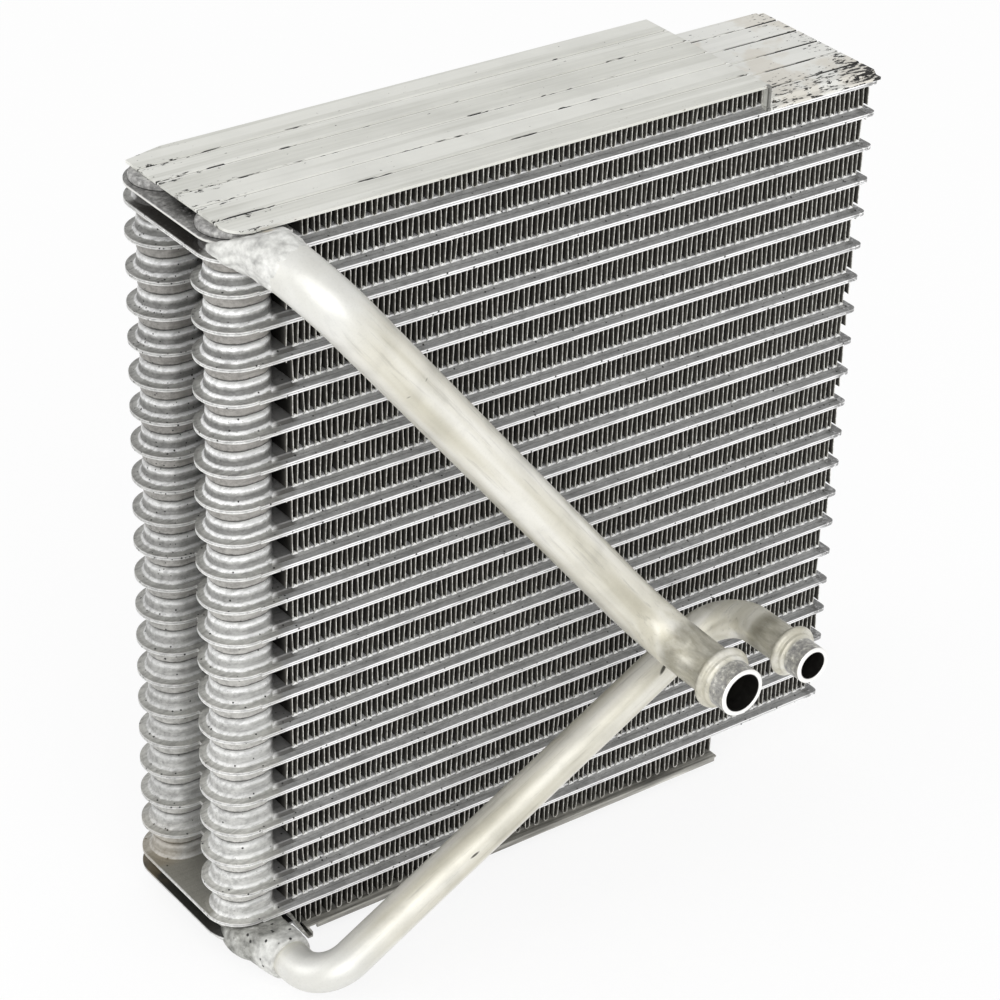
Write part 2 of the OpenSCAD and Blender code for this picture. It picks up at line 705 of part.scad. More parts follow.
module suction_collar() {
    in_frame() color([0.88, 0.88, 0.87]) difference() {
        union() {
            translate([0, 0, pair_z(top_pair)]) collar_neck(suction_root_x, suction_rise,
                suction_collar_r - slab, lap - suction_start_y);
            at_bend(suction_a, out_way, suction_way, suction_bend_near)
                rotate_extrude(angle = suction_collar_turn)
                    translate([suction_bend_near, 0]) circle(suction_collar_r);
        }
        at_bend(suction_a, out_way, suction_way, suction_bend_near)
            rotate([0, 0, suction_root_turn]) rotate_extrude(angle = 60)
                translate([suction_bend_near, 0]) circle(suction_od / 2 + braze_gap);
        translate([0, 0, pair_z(top_pair)]) collar_clearance(
            suction_bend_near * sin(suction_root_turn) + 1 - suction_start_y);
    }
}

module liquid_collar() {
    r = liquid_collar_r;
    reach = liquid_collar_reach;
    in_frame() color([0.88, 0.88, 0.87]) mirror([0, 0, 1]) difference() {
        union() {
            collar_neck(liquid_root_x, liquid_drop, r, reach - socket_depth - 2);
            translate([liquid_root_x, socket_depth + 2.5 - reach, liquid_drop])
                rotate([90, 0, 0]) cylinder(h = socket_depth + 2.5, r = r + slab);
        }
        translate([liquid_root_x, socket_depth - reach, liquid_drop])
            rotate([90, 0, 0]) cylinder(h = reach, r = liquid_od / 2 + braze_gap);
        collar_clearance(reach);
    }
}

for (k = [0 : top_pair]) plate_pair(k);
for (k = [0 : pair_count]) fin_layer(k);
top_tank_cap();
bottom_tank_cap();
top_side_plate();
bottom_side_plate();
suction_pipe();
suction_collar();
liquid_pipe();
liquid_collar();
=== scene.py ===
"""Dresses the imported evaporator: rounded fin strips, brazed joints, bent pipes and the
finishes of its aluminium, with a plain studio round it."""

import json
import math

import bmesh
import bpy
from mathutils import Matrix, Vector


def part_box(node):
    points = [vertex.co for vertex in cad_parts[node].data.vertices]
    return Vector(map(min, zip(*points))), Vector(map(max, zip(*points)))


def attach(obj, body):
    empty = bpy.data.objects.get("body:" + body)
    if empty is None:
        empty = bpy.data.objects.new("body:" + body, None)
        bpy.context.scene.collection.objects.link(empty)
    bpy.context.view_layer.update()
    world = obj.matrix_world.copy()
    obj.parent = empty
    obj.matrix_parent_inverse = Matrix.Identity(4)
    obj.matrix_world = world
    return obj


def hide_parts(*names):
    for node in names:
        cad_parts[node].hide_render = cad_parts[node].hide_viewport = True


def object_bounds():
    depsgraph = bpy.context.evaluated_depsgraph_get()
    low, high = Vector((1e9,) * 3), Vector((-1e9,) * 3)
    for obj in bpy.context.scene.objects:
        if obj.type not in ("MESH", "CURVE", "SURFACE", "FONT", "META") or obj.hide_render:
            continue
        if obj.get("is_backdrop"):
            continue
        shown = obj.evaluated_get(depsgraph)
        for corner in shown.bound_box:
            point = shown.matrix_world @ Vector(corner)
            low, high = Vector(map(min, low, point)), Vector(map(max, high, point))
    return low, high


bl_info = {
    "name": "Plate-fin evaporator",
    "version": (1, 0, 0),
    "blender": (4, 5, 0),
    "location": "View3D > Sidebar > Evaporator",
    "description": "Dresses the plate-fin evaporator and lights it",
    "category": "Object",
}

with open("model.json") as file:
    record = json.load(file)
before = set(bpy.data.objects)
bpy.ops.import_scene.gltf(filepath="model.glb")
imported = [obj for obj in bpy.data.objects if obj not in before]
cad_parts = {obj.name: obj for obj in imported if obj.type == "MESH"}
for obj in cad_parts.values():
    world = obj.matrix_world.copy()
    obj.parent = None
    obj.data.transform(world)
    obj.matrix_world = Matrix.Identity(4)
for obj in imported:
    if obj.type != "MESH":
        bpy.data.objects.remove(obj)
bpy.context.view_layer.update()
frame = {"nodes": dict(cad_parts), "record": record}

MM = 0.001

# The core's own axes start at the tank end's front corner, in the bottom pair's middle
# plane. These three carry a place there to the frame.
CORE_X = -120.3
CORE_Y = -0.35
CORE_Z = 11.35

PAIR_COUNT = 21
PAIR_PITCH = 11.5
TOP_PRESS = 0.8
PAIR_HALF = 1.85
SEAM_DROP = 5.0
CAP_RISE = 5.2

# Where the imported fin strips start, half their thickness, and the lean of the lowest one's
# slanted end.
FIN_START = 23.3
PACKED_HALF = 0.125
SLANT = math.radians(30)

BODY = "root"


def place(x, y, z):
    """A place on the core's axes, in millimetres, as a place in the frame, in metres."""
    return Vector(((x + CORE_X) * MM, (y + CORE_Y) * MM, (z + CORE_Z) * MM))


def on_core(point):
    """A place in the frame, in metres, as one on the core's axes, in millimetres."""
    return tuple(point / MM - Vector((CORE_X, CORE_Y, CORE_Z)))


def pair_z(index):
    """Height of a plate pair's middle plane, in millimetres on the core's axes."""
    return index * PAIR_PITCH - (TOP_PRESS if index == PAIR_COUNT - 1 else 0.0)


# Modelling helpers


def deselect():
    """Leaves edit mode and clears the selection."""
    if bpy.context.object and bpy.context.object.mode != "OBJECT":
        bpy.ops.object.mode_set(mode="OBJECT")
    bpy.ops.object.select_all(action="DESELECT")


def take(name):
    """Names the primitive that was just added, and its mesh."""
    piece = bpy.context.object
    piece.name = name
    piece.data.name = name
    return piece


def settle(piece):
    """Puts a finished piece's place into its mesh, so its object sits at the origin."""
    deselect()
    piece.select_set(True)
    bpy.context.view_layer.objects.active = piece
    bpy.ops.object.transform_apply(location=True, rotation=True, scale=True)
    piece.select_set(False)


def finish_modifiers(piece):
    """Applies a piece's modifiers in their order."""
    deselect()
    piece.select_set(True)
    bpy.context.view_layer.objects.active = piece
    for name in [modifier.name for modifier in piece.modifiers]:
        bpy.ops.object.modifier_apply(modifier=name)


def joined(name, parts):
    """Joins parts into one piece."""
    deselect()
    for part in parts:
        part.select_set(True)
    bpy.context.view_layer.objects.active = parts[0]
    bpy.ops.object.join()
    return take(name)


def linear(text):
    """An sRGB hex colour as linear RGBA."""
    parts = [int(text[i:i + 2], 16) / 255 for i in (1, 3, 5)]
    return [c / 12.92 if c <= 0.04045 else ((c + 0.055) / 1.055) ** 2.4
            for c in parts] + [1.0]


def add_node(tree, kind, settings=None, inputs=None):
    """Adds one shader node with its settings. Each input, by name or number, gets a value,
    a hex colour, or a link from a socket or from a node's first output. The setting
    "stops" gives a colour ramp its places and hex colours."""
    node = tree.nodes.new(kind)
    node.location = (180 * len(tree.nodes) - 2400, -230 * (len(tree.nodes) % 5))
    for key, value in (settings or {}).items():
        if key == "stops":
            elements = node.color_ramp.elements
            while len(elements) < len(value):
                elements.new(0.5)
            for element, (position, colour) in zip(elements, value):
                element.position = position
                element.color = linear(colour)
        else:
            setattr(node, key, value)
    for key, value in (inputs or {}).items():
        if isinstance(value, bpy.types.Node):
            tree.links.new(value.outputs[0], node.inputs[key])
        elif isinstance(value, bpy.types.NodeSocket):
            tree.links.new(value, node.inputs[key])
        else:
            node.inputs[key].default_value = (linear(value) if isinstance(value, str)
                                              else value)
    return node


# Finishes


def new_material(name, metallic, roughness):
    """A material with its shader and output, and the object's own coordinates, in metres
    and split up. The constant values are set on the shader itself."""
    material = bpy.data.materials.new(name)
    material.use_nodes = True
    tree = material.node_tree
    tree.nodes.clear()
    shader = add_node(tree, "ShaderNodeBsdfPrincipled", None,
                      {"Metallic": metallic, "Roughness": roughness})
    add_node(tree, "ShaderNodeOutputMaterial", None, {"Surface": shader.outputs["BSDF"]})
    spot = add_node(tree, "ShaderNodeTexCoord").outputs["Object"]
    split = add_node(tree, "ShaderNodeSeparateXYZ", None, {0: spot})
    return material, tree, shader, spot, split


def times(tree, *masks):
    """The product of masks."""
    product = masks[0]
    for mask in masks[1:]:
        product = add_node(tree, "ShaderNodeMath", {"operation": "MULTIPLY"},
                           {0: product, 1: mask})
    return product


def raised(tree, pattern, *places):
    """A pattern, raised by a weight where each mask is 1."""
    for mask, weight in places:
        pattern = add_node(tree, "ShaderNodeMath", {"operation": "MULTIPLY_ADD"},
                           {0: mask, 1: weight, 2: pattern})
    return pattern


def coat(tree, under, over, mask, strength=1.0):
    """Lays one colour over another where the mask is 1."""
    return add_node(tree, "ShaderNodeMix", {"data_type": "RGBA"},
                    {0: times(tree, mask, strength), 6: under, 7: over}).outputs[2]


def shade(tree, colour, pattern, low, high, darkest):
    """Darkens a colour where the pattern falls from high to low."""
    tone = add_node(tree, "ShaderNodeMapRange", {"clamp": True},
                    {"Value": pattern, "From Min": low, "From Max": high,
                     "To Min": darkest, "To Max": 1.0})
    return add_node(tree, "ShaderNodeMix", {"data_type": "RGBA", "blend_type": "MULTIPLY"},
                    {0: 1.0, 6: colour, 7: tone}).outputs[2]


def lumps(tree, spot, size_mm, detail=3.0, roughness=0.55, stretch=(1, 1, 1)):
    """Cloudy pattern with lumps about size_mm across, drawn out where stretch is small."""
    turned = add_node(tree, "ShaderNodeMapping", None, {"Vector": spot, "Scale": stretch})
    return add_node(tree, "ShaderNodeTexNoise", None,
                    {"Vector": turned, "Scale": 1 / (size_mm * MM), "Detail": detail,
                     "Roughness": roughness})


def band(tree, value, low, high, soft):
    """1 where the value lies between low and high, with soft flanks, and 0 elsewhere."""
    up = add_node(tree, "ShaderNodeMapRange", {"clamp": True},
                  {"Value": value, "From Min": low - soft, "From Max": low})
    down = add_node(tree, "ShaderNodeMapRange", {"clamp": True},
                    {"Value": value, "From Min": high, "From Max": high + soft,
                     "To Min": 1.0, "To Max": 0.0})
    return times(tree, up, down)


def pits(tree, spot, cell_mm, radius_mm, share=0.28):
    """Scattered round pits: 1 inside a pit and 0 outside. The share of cells holds one."""
    cells = add_node(tree, "ShaderNodeTexVoronoi", None,
                     {"Vector": spot, "Scale": 1 / (cell_mm * MM)})
    inside = band(tree, cells.outputs["Distance"], -1.0, radius_mm / cell_mm * 0.6,
                  radius_mm / cell_mm * 0.4)
    chance = add_node(tree, "ShaderNodeSeparateColor", None, {0: cells.outputs["Color"]})
    chosen = add_node(tree, "ShaderNodeMath", {"operation": "GREATER_THAN"},
                      {0: chance, 1: 1 - share})
    return times(tree, inside, chosen)


def zone(tree, split, axis, low, high, soft=0.3):
    """1 where the place along one of the core's axes lies between two values, in
    millimetres, with soft flanks, and 0 elsewhere."""
    start = {"X": CORE_X, "Y": CORE_Y, "Z": CORE_Z}[axis]
    return band(tree, split.outputs[axis], (low + start) * MM, (high + start) * MM,
                soft * MM)


def drawn_along(tree, spot, way, keep=0.06):
    """The coordinates squeezed along a direction, so that patterns are drawn out."""
    far = add_node(tree, "ShaderNodeVectorMath", {"operation": "DOT_PRODUCT"},
                   {0: spot, 1: way})
    back = add_node(tree, "ShaderNodeVectorMath", {"operation": "SCALE"},
                    {0: way * (keep - 1), "Scale": far.outputs["Value"]})
    return add_node(tree, "ShaderNodeVectorMath", {"operation": "ADD"},
                    {0: spot, 1: back})


def scratch_at(tree, spot, start, end, width_mm):
    """1 along a thin scratch between two places on the core's axes, and 0 elsewhere."""
    a, b = place(*start), place(*end)
    way = (b - a).normalized()
    keep = width_mm * MM / (b - a).length
    centre = (a + b) / 2
    centre = centre + way * (keep - 1) * centre.dot(way)
    far = add_node(tree, "ShaderNodeVectorMath", {"operation": "DISTANCE"},
                   {0: drawn_along(tree, spot, way, keep), 1: centre})
    return band(tree, far.outputs["Value"], -1.0, width_mm * MM * 0.35, width_mm * MM * 0.3)


def mark_at(tree, spot, centre, radius_mm, soft_mm=0.3):
    """1 within a radius of a place on the core's axes, with a soft rim, and 0 elsewhere."""
    far = add_node(tree, "ShaderNodeVectorMath", {"operation": "DISTANCE"},
                   {0: spot, 1: place(*centre)})
    return band(tree, far.outputs["Value"], -1.0, radius_mm * MM, soft_mm * MM)


def relief(tree, shader, layers):
    """Gives the shader a bump from (pattern, height in mm) layers, one on the other."""
    normal = None
    for pattern, height_mm in layers:
        links = {"Height": pattern, "Distance": abs(height_mm) * MM, "Strength": 1.0}
        if normal is not None:
            links["Normal"] = normal.outputs["Normal"]
        normal = add_node(tree, "ShaderNodeBump", {"invert": height_mm < 0}, links)
    tree.links.new(normal.outputs["Normal"], shader.inputs["Normal"])


def over_pair(tree, split):
    """Height over a plate pair's middle plane, in millimetres, from the seam below the pair
    to the seam above it. The top pair sits a little lower than its pitch."""
    pressed = add_node(tree, "ShaderNodeMath", {"operation": "GREATER_THAN"},
                       {0: split.outputs["Z"], 1: (CORE_Z + pair_z(19) + 5.3) * MM})
    lifted = add_node(tree, "ShaderNodeMath", {"operation": "MULTIPLY_ADD"},
                      {0: pressed, 1: TOP_PRESS * MM, 2: split.outputs["Z"]})
    turns = add_node(tree, "ShaderNodeMath", {"operation": "MULTIPLY_ADD"},
                     {0: lifted, 1: 1 / (PAIR_PITCH * MM),
                      2: (SEAM_DROP - CORE_Z) / PAIR_PITCH})
    part = add_node(tree, "ShaderNodeMath", {"operation": "FRACT"}, {0: turns})
    return add_node(tree, "ShaderNodeMath", {"operation": "MULTIPLY_ADD"},
                    {0: part, 1: PAIR_PITCH, 2: -SEAM_DROP})


def from_middle(tree, split):
    """Distance from the core's middle depth, in millimetres."""
    offset = add_node(tree, "ShaderNodeMath", {"operation": "MULTIPLY_ADD"},
                      {0: split.outputs["Y"], 1: 1 / MM, 2: -(CORE_Y + 30.0)})
    return add_node(tree, "ShaderNodeMath", {"operation": "ABSOLUTE"}, {0: offset})


# How far the tones of the tanks' skin wander up or down, in millimetres.
WAVE = 0.4

# Tones of the tanks' skin by height over a pair's middle plane, in millimetres, from the
# seam below the pair to the one above it: high up and low down in the core. Besides the
# skin's own tones they hold painted light: painted highlights on the upper part of each
# cup, white rims and cup feet that are partly clad and partly painted highlight, and
# painted shade on the lower part of each cup and in a dark band under each rim. High up
# the painted light has more contrast.
TANK_TONES = [
    (-4.85, "#55534f"), (-4.6, "#9b9893"), (-2.2, "#a3a09b"), (-1.2, "#4a4846"),
    (-0.6, "#e9e9e6"), (0.3, "#f6f6f4"), (0.5, "#a5a4a0"), (0.95, "#bfbfbb"),
    (1.1, "#ffffff"), (1.5, "#ffffff"), (2.0, "#7b7b79"), (3.3, "#81817e"),
    (4.2, "#c4c4c1"), (4.6, "#ffffff"), (5.7, "#ececea"), (6.3, "#7d7d7a")]
LOW_TANK_TONES = [
    (-4.85, "#6e6d69"), (-4.6, "#d2d1cc"), (-2.2, "#cfcec9"), (-1.2, "#a09f9b"),
    (-0.6, "#efefec"), (0.3, "#f6f6f4"), (0.5, "#cfcec8"), (0.95, "#d3d3ce"),
    (1.1, "#ebebe9"), (1.5, "#e9e9e7"), (2.0, "#c9c9c6"), (3.3, "#cdcdca"),
    (4.2, "#dbdbd8"), (4.6, "#e5e5e3"), (5.7, "#dcdcda"), (6.3, "#a3a3a0")]


def brazed_sheet():
    """Pressed core sheet of clad aluminium, brazed in a furnace. The flanges' rims and the
    feet of the cups are white, partly from the molten clad and partly painted highlight;
    the upper cups carry painted highlights, and the steep faces are mid grey, in painted
    shade, like the lower cups. Streaks and specks lie all over, with small black pits, and
    a dark line where two cups meet."""
    material, tree, shader, spot, split = new_material("brazed_clad_aluminium", 0.2, 0.34)
    height = over_pair(tree, split)
    away = add_node(tree, "ShaderNodeMath", {"operation": "ABSOLUTE"}, {0: height})
    mottle = lumps(tree, spot, 1.8, 5, 0.65)
    fine = lumps(tree, spot, 0.5, 3, 0.6)
    drawn = lumps(tree, spot, 1.2, 4, 0.65, (0.08, 1, 1))
    cloud = lumps(tree, spot, 13, 3, 0.55)
    # The tanks: tones by height, with painted highlights and painted shade.
    wavy = raised(tree, height, (mottle, 2 * WAVE))
    along = add_node(tree, "ShaderNodeMapRange", {"clamp": True},
                     {"Value": wavy, "From Min": WAVE - SEAM_DROP,
                      "From Max": WAVE - SEAM_DROP + PAIR_PITCH})
    high, low = [add_node(tree, "ShaderNodeValToRGB", {"stops": [
        ((at + SEAM_DROP) / PAIR_PITCH, tone) for at, tone in tones]},
        {0: along}) for tones in (TANK_TONES, LOW_TANK_TONES)]
    down = add_node(tree, "ShaderNodeMapRange", {"clamp": True},
                    {"Value": split.outputs["Z"], "From Min": 0.17, "From Max": 0.05})
    tank = coat(tree, high.outputs[0], low.outputs[0], down)
    # The back column is a little darker: painted shade cast by the front column.
    behind = zone(tree, split, "Y", 33, 99, 3)
    tank = coat(tree, tank, "#6f6e6b", behind, 0.22)
    # The finned length: white rims, partly clad and partly painted highlight, grey slopes in
    # painted shade with a dark line of painted shade beside the rims, and a lighter top edge.
    out = add_node(tree, "ShaderNodeMapRange", {"clamp": True},
                   {"Value": away, "From Min": 0.0, "From Max": 2.0})
    finned = add_node(tree, "ShaderNodeValToRGB", {"stops": [
        (0.0, "#d9d9d6"), (0.05, "#ffffff"), (0.29, "#ffffff"), (0.31, "#555553"),
        (0.36, "#939391"), (0.72, "#a3a3a1"), (0.78, "#ffffff"), (1.0, "#ffffff")]},
        {0: out})
    tone = coat(tree, finned.outputs[0], tank, zone(tree, split, "X", -9, 19, 2.5))
    tone = shade(tree, tone, mottle, 0.32, 0.6, 0.8)
    tone = shade(tree, tone, drawn, 0.38, 0.54, 0.72)
    tone = shade(tree, tone, cloud, 0.38, 0.55, 0.88)
    # The rims along the fins are whitened once more: painted highlight.
    rim = add_node(tree, "ShaderNodeMath", {"operation": "MAXIMUM"},
                   {0: band(tree, away, 0.08, 0.54, 0.05), 1: band(tree, away, 1.6, 9, 0.05)})
    tone = coat(tree, tone, "#ffffff", times(tree, rim, zone(tree, split, "X", 24, 299, 3),
                                             band(tree, drawn, 0.42, 2.0, 0.06)), 0.8)
    # The corner between the cups and the fins is darkened with painted shade, and the far end
    # gets dark blotches.
    corner = times(tree, zone(tree, split, "X", 20.5, 25.5, 2), band(tree, away, 0.7, 9, 0.1))
    tone = coat(tree, tone, "#393733", corner, 0.8)
    end = times(tree, zone(tree, split, "X", 236.5, 299, 3),
                band(tree, lumps(tree, spot, 1.6, 4, 0.7), 0.47, 2.0, 0.05))
    tone = coat(tree, tone, "#33322e", end, 0.6)
    # The end pairs' bare stretches between the tanks, and the caps.
    between = times(tree, zone(tree, split, "X", 0.4, 22), zone(tree, split, "Y", 12, 48, 2))
    top = pair_z(20)
    # The top pair's stretch under the cap is painted nearly black: painted shade between the
    # cap and the pair.
    tone = coat(tree, tone, "#2c2926", times(tree, between, zone(
        tree, split, "Z", top + 0.3, top + 4.6, 0.1)), 0.93)
    tone = coat(tree, tone, "#85837a", times(tree, between, zone(
        tree, split, "Z", -9, 1.0, 0.1)), 0.85)
    cap = add_node(tree, "ShaderNodeValToRGB", {"stops": [
        (0.35, "#72716f"), (0.5, "#979694"), (0.62, "#bcbbb8")]}, {0: mottle})
    tone = coat(tree, tone, cap.outputs[0], zone(tree, split, "Z", top + CAP_RISE, 999, 0.1))
    # A light band along the cap flange's edge: painted highlight.
    tone = coat(tree, tone, "#d2d1cd", zone(tree, split, "Z", top + CAP_RISE,
                                            top + CAP_RISE + 0.62, 0.05))
    # A dark blotchy patch in the hollow of the cap at the tank end: painted shade.
    hollow_shade = times(tree, mark_at(tree, spot, (9, 26, top + 7), 4, 5),
                 band(tree, lumps(tree, spot, 1.2, 4, 0.7), 0.43, 2.0, 0.04))
    tone = coat(tree, tone, "#22211f", hollow_shade, 0.9)
    # Pits crowd round the feet of the cups, most of all at the back and high up.
    foot = band(tree, away, -1.0, 2.8, 0.8)
    worst = times(tree, behind, zone(tree, split, "Z", 120, 226, 40))
    tone = coat(tree, tone, "#11100f", times(tree, worst, pits(tree, spot, 1.3, 0.3, 0.3)))
    tone = coat(tree, tone, "#151412", times(tree, foot, pits(tree, spot, 2.0, 0.4, 0.24)))
    tone = coat(tree, tone, "#151412", pits(tree, spot, 3.1, 0.44, 0.18))
    tone = coat(tree, tone, "#8f8e8b", pits(tree, spot, 0.9, 0.22, 0.12), 0.7)
    seam = band(tree, away, -1.0, 0.03, 0.07)
    joint = band(tree, height, PAIR_PITCH - SEAM_DROP - 0.28, PAIR_PITCH, 0.18)
    tone = coat(tree, tone, "#5d5c59", seam, 0.45)
    tone = coat(tree, tone, "#1f1e1c", joint, 0.9)
    # A rusty run near the foot of the back tank.
    stain = times(tree, zone(tree, split, "Z", -9, 6, 9), zone(tree, split, "Y", 42, 99, 4),
                  band(tree, cloud, 0.5, 1.0, 0.1))
    tone = coat(tree, tone, "#8a7c62", stain, 0.45)
    tree.links.new(tone, shader.inputs["Base Color"])
    relief(tree, shader, [(mottle, 0.22), (fine, 0.08), (seam, -0.25), (joint, -0.3)])
    return material


def side_sheet():
    """Folded side plate sheet: matt warm grey with fine streaks along the roll, faint painted
    shade and dark broken lines of soiling and painted shade in its grooves with a painted
    highlight before each, scuffs and pits near its edges. The lower plate is darker, in dark
    and light streaks."""
    material, tree, shader, spot, split = new_material("matt_rolled_aluminium", 0.1, 0.5)
    streak = lumps(tree, spot, 1.8, 4, 0.6, (0.05, 1, 1))
    wide = lumps(tree, spot, 6, 2, 0.5, (0.02, 1, 1))
    cloud = lumps(tree, spot, 20, 4, 0.6)
    speck = lumps(tree, spot, 1.1, 4, 0.65, (0.35, 1, 1))
    dash = lumps(tree, spot, 2.4, 3, 0.7, (0.12, 0.3, 1))
    across = add_node(tree, "ShaderNodeMath", {"operation": "MULTIPLY_ADD"},
                      {0: split.outputs["Y"], 1: 1 / (10 * MM), 2: 0.5 - CORE_Y / 10})
    across = add_node(tree, "ShaderNodeMath", {"operation": "FRACT"}, {0: across})
    off_line = add_node(tree, "ShaderNodeMath", {"operation": "MULTIPLY_ADD"},
                        {0: across, 1: 10.0, 2: -5.0})
    tone = add_node(tree, "ShaderNodeValToRGB", {"stops": [
        (0.3, "#cdcdc5"), (0.5, "#d5d5ce"), (0.7, "#dbdbd4")]}, {0: streak}).outputs[0]
    tone = coat(tree, tone, "#e6e6e0", band(tree, wide, 0.54, 1.0, 0.05), 0.7)
    tone = shade(tree, tone, cloud, 0.35, 0.55, 0.94)
    # The deck is brighter, with a few pale brown stains.
    deck = zone(tree, split, "X", 197, 999, 1)
    tone = coat(tree, tone, "#e9e9e5", deck, 0.6)
    tone = coat(tree, tone, "#c4b8a4", times(tree, deck, band(tree, cloud, 0.56, 1.0, 0.08)),
                0.35)
    # Grooves: a faint line of painted shade with a painted highlight in front of it, and
    # dashes of black soiling and painted shade, most of them near the tank and on the deck.
    near_tank = zone(tree, split, "X", -9, 14, 30)
    inner = band(tree, from_middle(tree, split), -1.0, 24.0, 0.5)
    line = band(tree, off_line, 0.0, 0.22, 0.1)
    glint = band(tree, off_line, -0.8, -0.3, 0.15)
    tone = coat(tree, tone, "#f4f4ef", times(tree, glint, inner), 0.75)
    tone = coat(tree, tone, "#8f8c84", times(
        tree, line, inner, band(tree, dash, 0.4, 1.0, 0.1)), 0.6)
    more = raised(tree, dash, (near_tank, 0.09), (deck, 0.15))
    # The black dashes: soiling and painted shade in the grooves.
    groove_dirt_and_shade = times(tree, inner, band(tree, off_line, -0.15, 0.4, 0.2),
                 band(tree, more, 0.61, 9.0, 0.02))
    tone = coat(tree, tone, "#191815", groove_dirt_and_shade)
    # Scuffs: at the tank end near the grooves, on the deck and its front, and a few brown
    # ones near the front edge.
    beside = band(tree, off_line, -2.2, 1.2, 1.0)
    front = zone(tree, split, "Y", -9, 3, 4)
    deck_front = times(tree, deck, zone(tree, split, "Y", -9, 9, 9))
    deck_end = zone(tree, split, "X", 236, 999, 5)
    near_scuff = times(tree, zone(tree, split, "X", -9, 14, 18), beside)
    wear = raised(tree, speck, (near_scuff, 0.13), (deck_front, 0.12), (deck_end, 0.1),
                  (deck, 0.03))
    scuff = band(tree, wear, 0.73, 9.0, 0.03)
    tone = coat(tree, tone, "#1c1b18", scuff)
    brown = times(tree, front, band(tree, speck, 0.68, 9.0, 0.03))
    tone = coat(tree, tone, "#857d6d", brown, 0.6)
    tone = coat(tree, tone, "#262522", pits(tree, spot, 5.2, 0.32, 0.1))
    fold = times(tree, zone(tree, split, "X", 193.9, 196.2, 0.1),
                 zone(tree, split, "Y", -9, 0.7, 0.1), zone(tree, split, "Z", 20, 242.2, 0.1))
    tone = coat(tree, tone, "#3b3a37", fold, 0.75)
    # The lower plate: darker, in dark and light streaks.
    low = band(tree, split.outputs["Z"], -1.0, 0.012, 0.001)
    low_plate_tones = add_node(tree, "ShaderNodeValToRGB", {"stops": [
        (0.3, "#33322e"), (0.45, "#787670"), (0.6, "#a8a69f"), (0.75, "#dddbd4")]},
        {0: streak})
    tone = coat(tree, tone, low_plate_tones.outputs[0], low, 0.95)
    tree.links.new(tone, shader.inputs["Base Color"])
    relief(tree, shader, [(streak, 0.04), (speck, 0.06), (scuff, -0.1)])
    return material


def fin_strip():
    """Thin rolled fin strip, as brazed: its cut edges are bright metal with a painted
    highlight, and the walls behind them are grey and darker further in, in painted shade."""
    material, tree, shader, spot, split = new_material("rolled_fin_aluminium", 0.3, 0.5)
    away = from_middle(tree, split)
    mottle = lumps(tree, spot, 1.3, 3, 0.6)
    # Painted shade: the walls darken with depth from the front and back faces inwards.
    depth = add_node(tree, "ShaderNodeMapRange", {"clamp": True},
                     {"Value": away, "From Min": 20.0, "From Max": 27.4})
    tone = add_node(tree, "ShaderNodeValToRGB", {"stops": [
        (0.0, "#0b0a09"), (0.6, "#1b1a17"), (0.85, "#3f3d39"), (1.0, "#7d7b74")]},
        {0: depth}).outputs[0]
    tone = shade(tree, tone, mottle, 0.3, 0.6, 0.75)
    # The cut edges at the front and back: bright metal with a painted highlight.
    cut = add_node(tree, "ShaderNodeValToRGB", {"stops": [
        (0.35, "#a9a7a0"), (0.5, "#d2d0c9"), (0.65, "#f4f2ec")]}, {0: mottle})
    edge = band(tree, away, 27.42, 31.0, 0.1)
    tree.links.new(coat(tree, tone, cut.outputs[0], edge), shader.inputs["Base Color"])
    relief(tree, shader, [(mottle, 0.08)])
    return material


def fin_fillet():
    """Braze drawn into the feet of the fins: frosty white."""
    material, tree, shader, spot, _ = new_material("white_braze_fillet", 0.2, 0.45)
    fine = lumps(tree, spot, 0.7, 3, 0.6)
    tone = add_node(tree, "ShaderNodeValToRGB", {"stops": [
        (0.3, "#cfcfcc"), (0.5, "#f1f1ef"), (0.7, "#fafaf8")]}, {0: fine})
    tree.links.new(tone.outputs[0], shader.inputs["Base Color"])
    relief(tree, shader, [(fine, 0.1)])
    return material


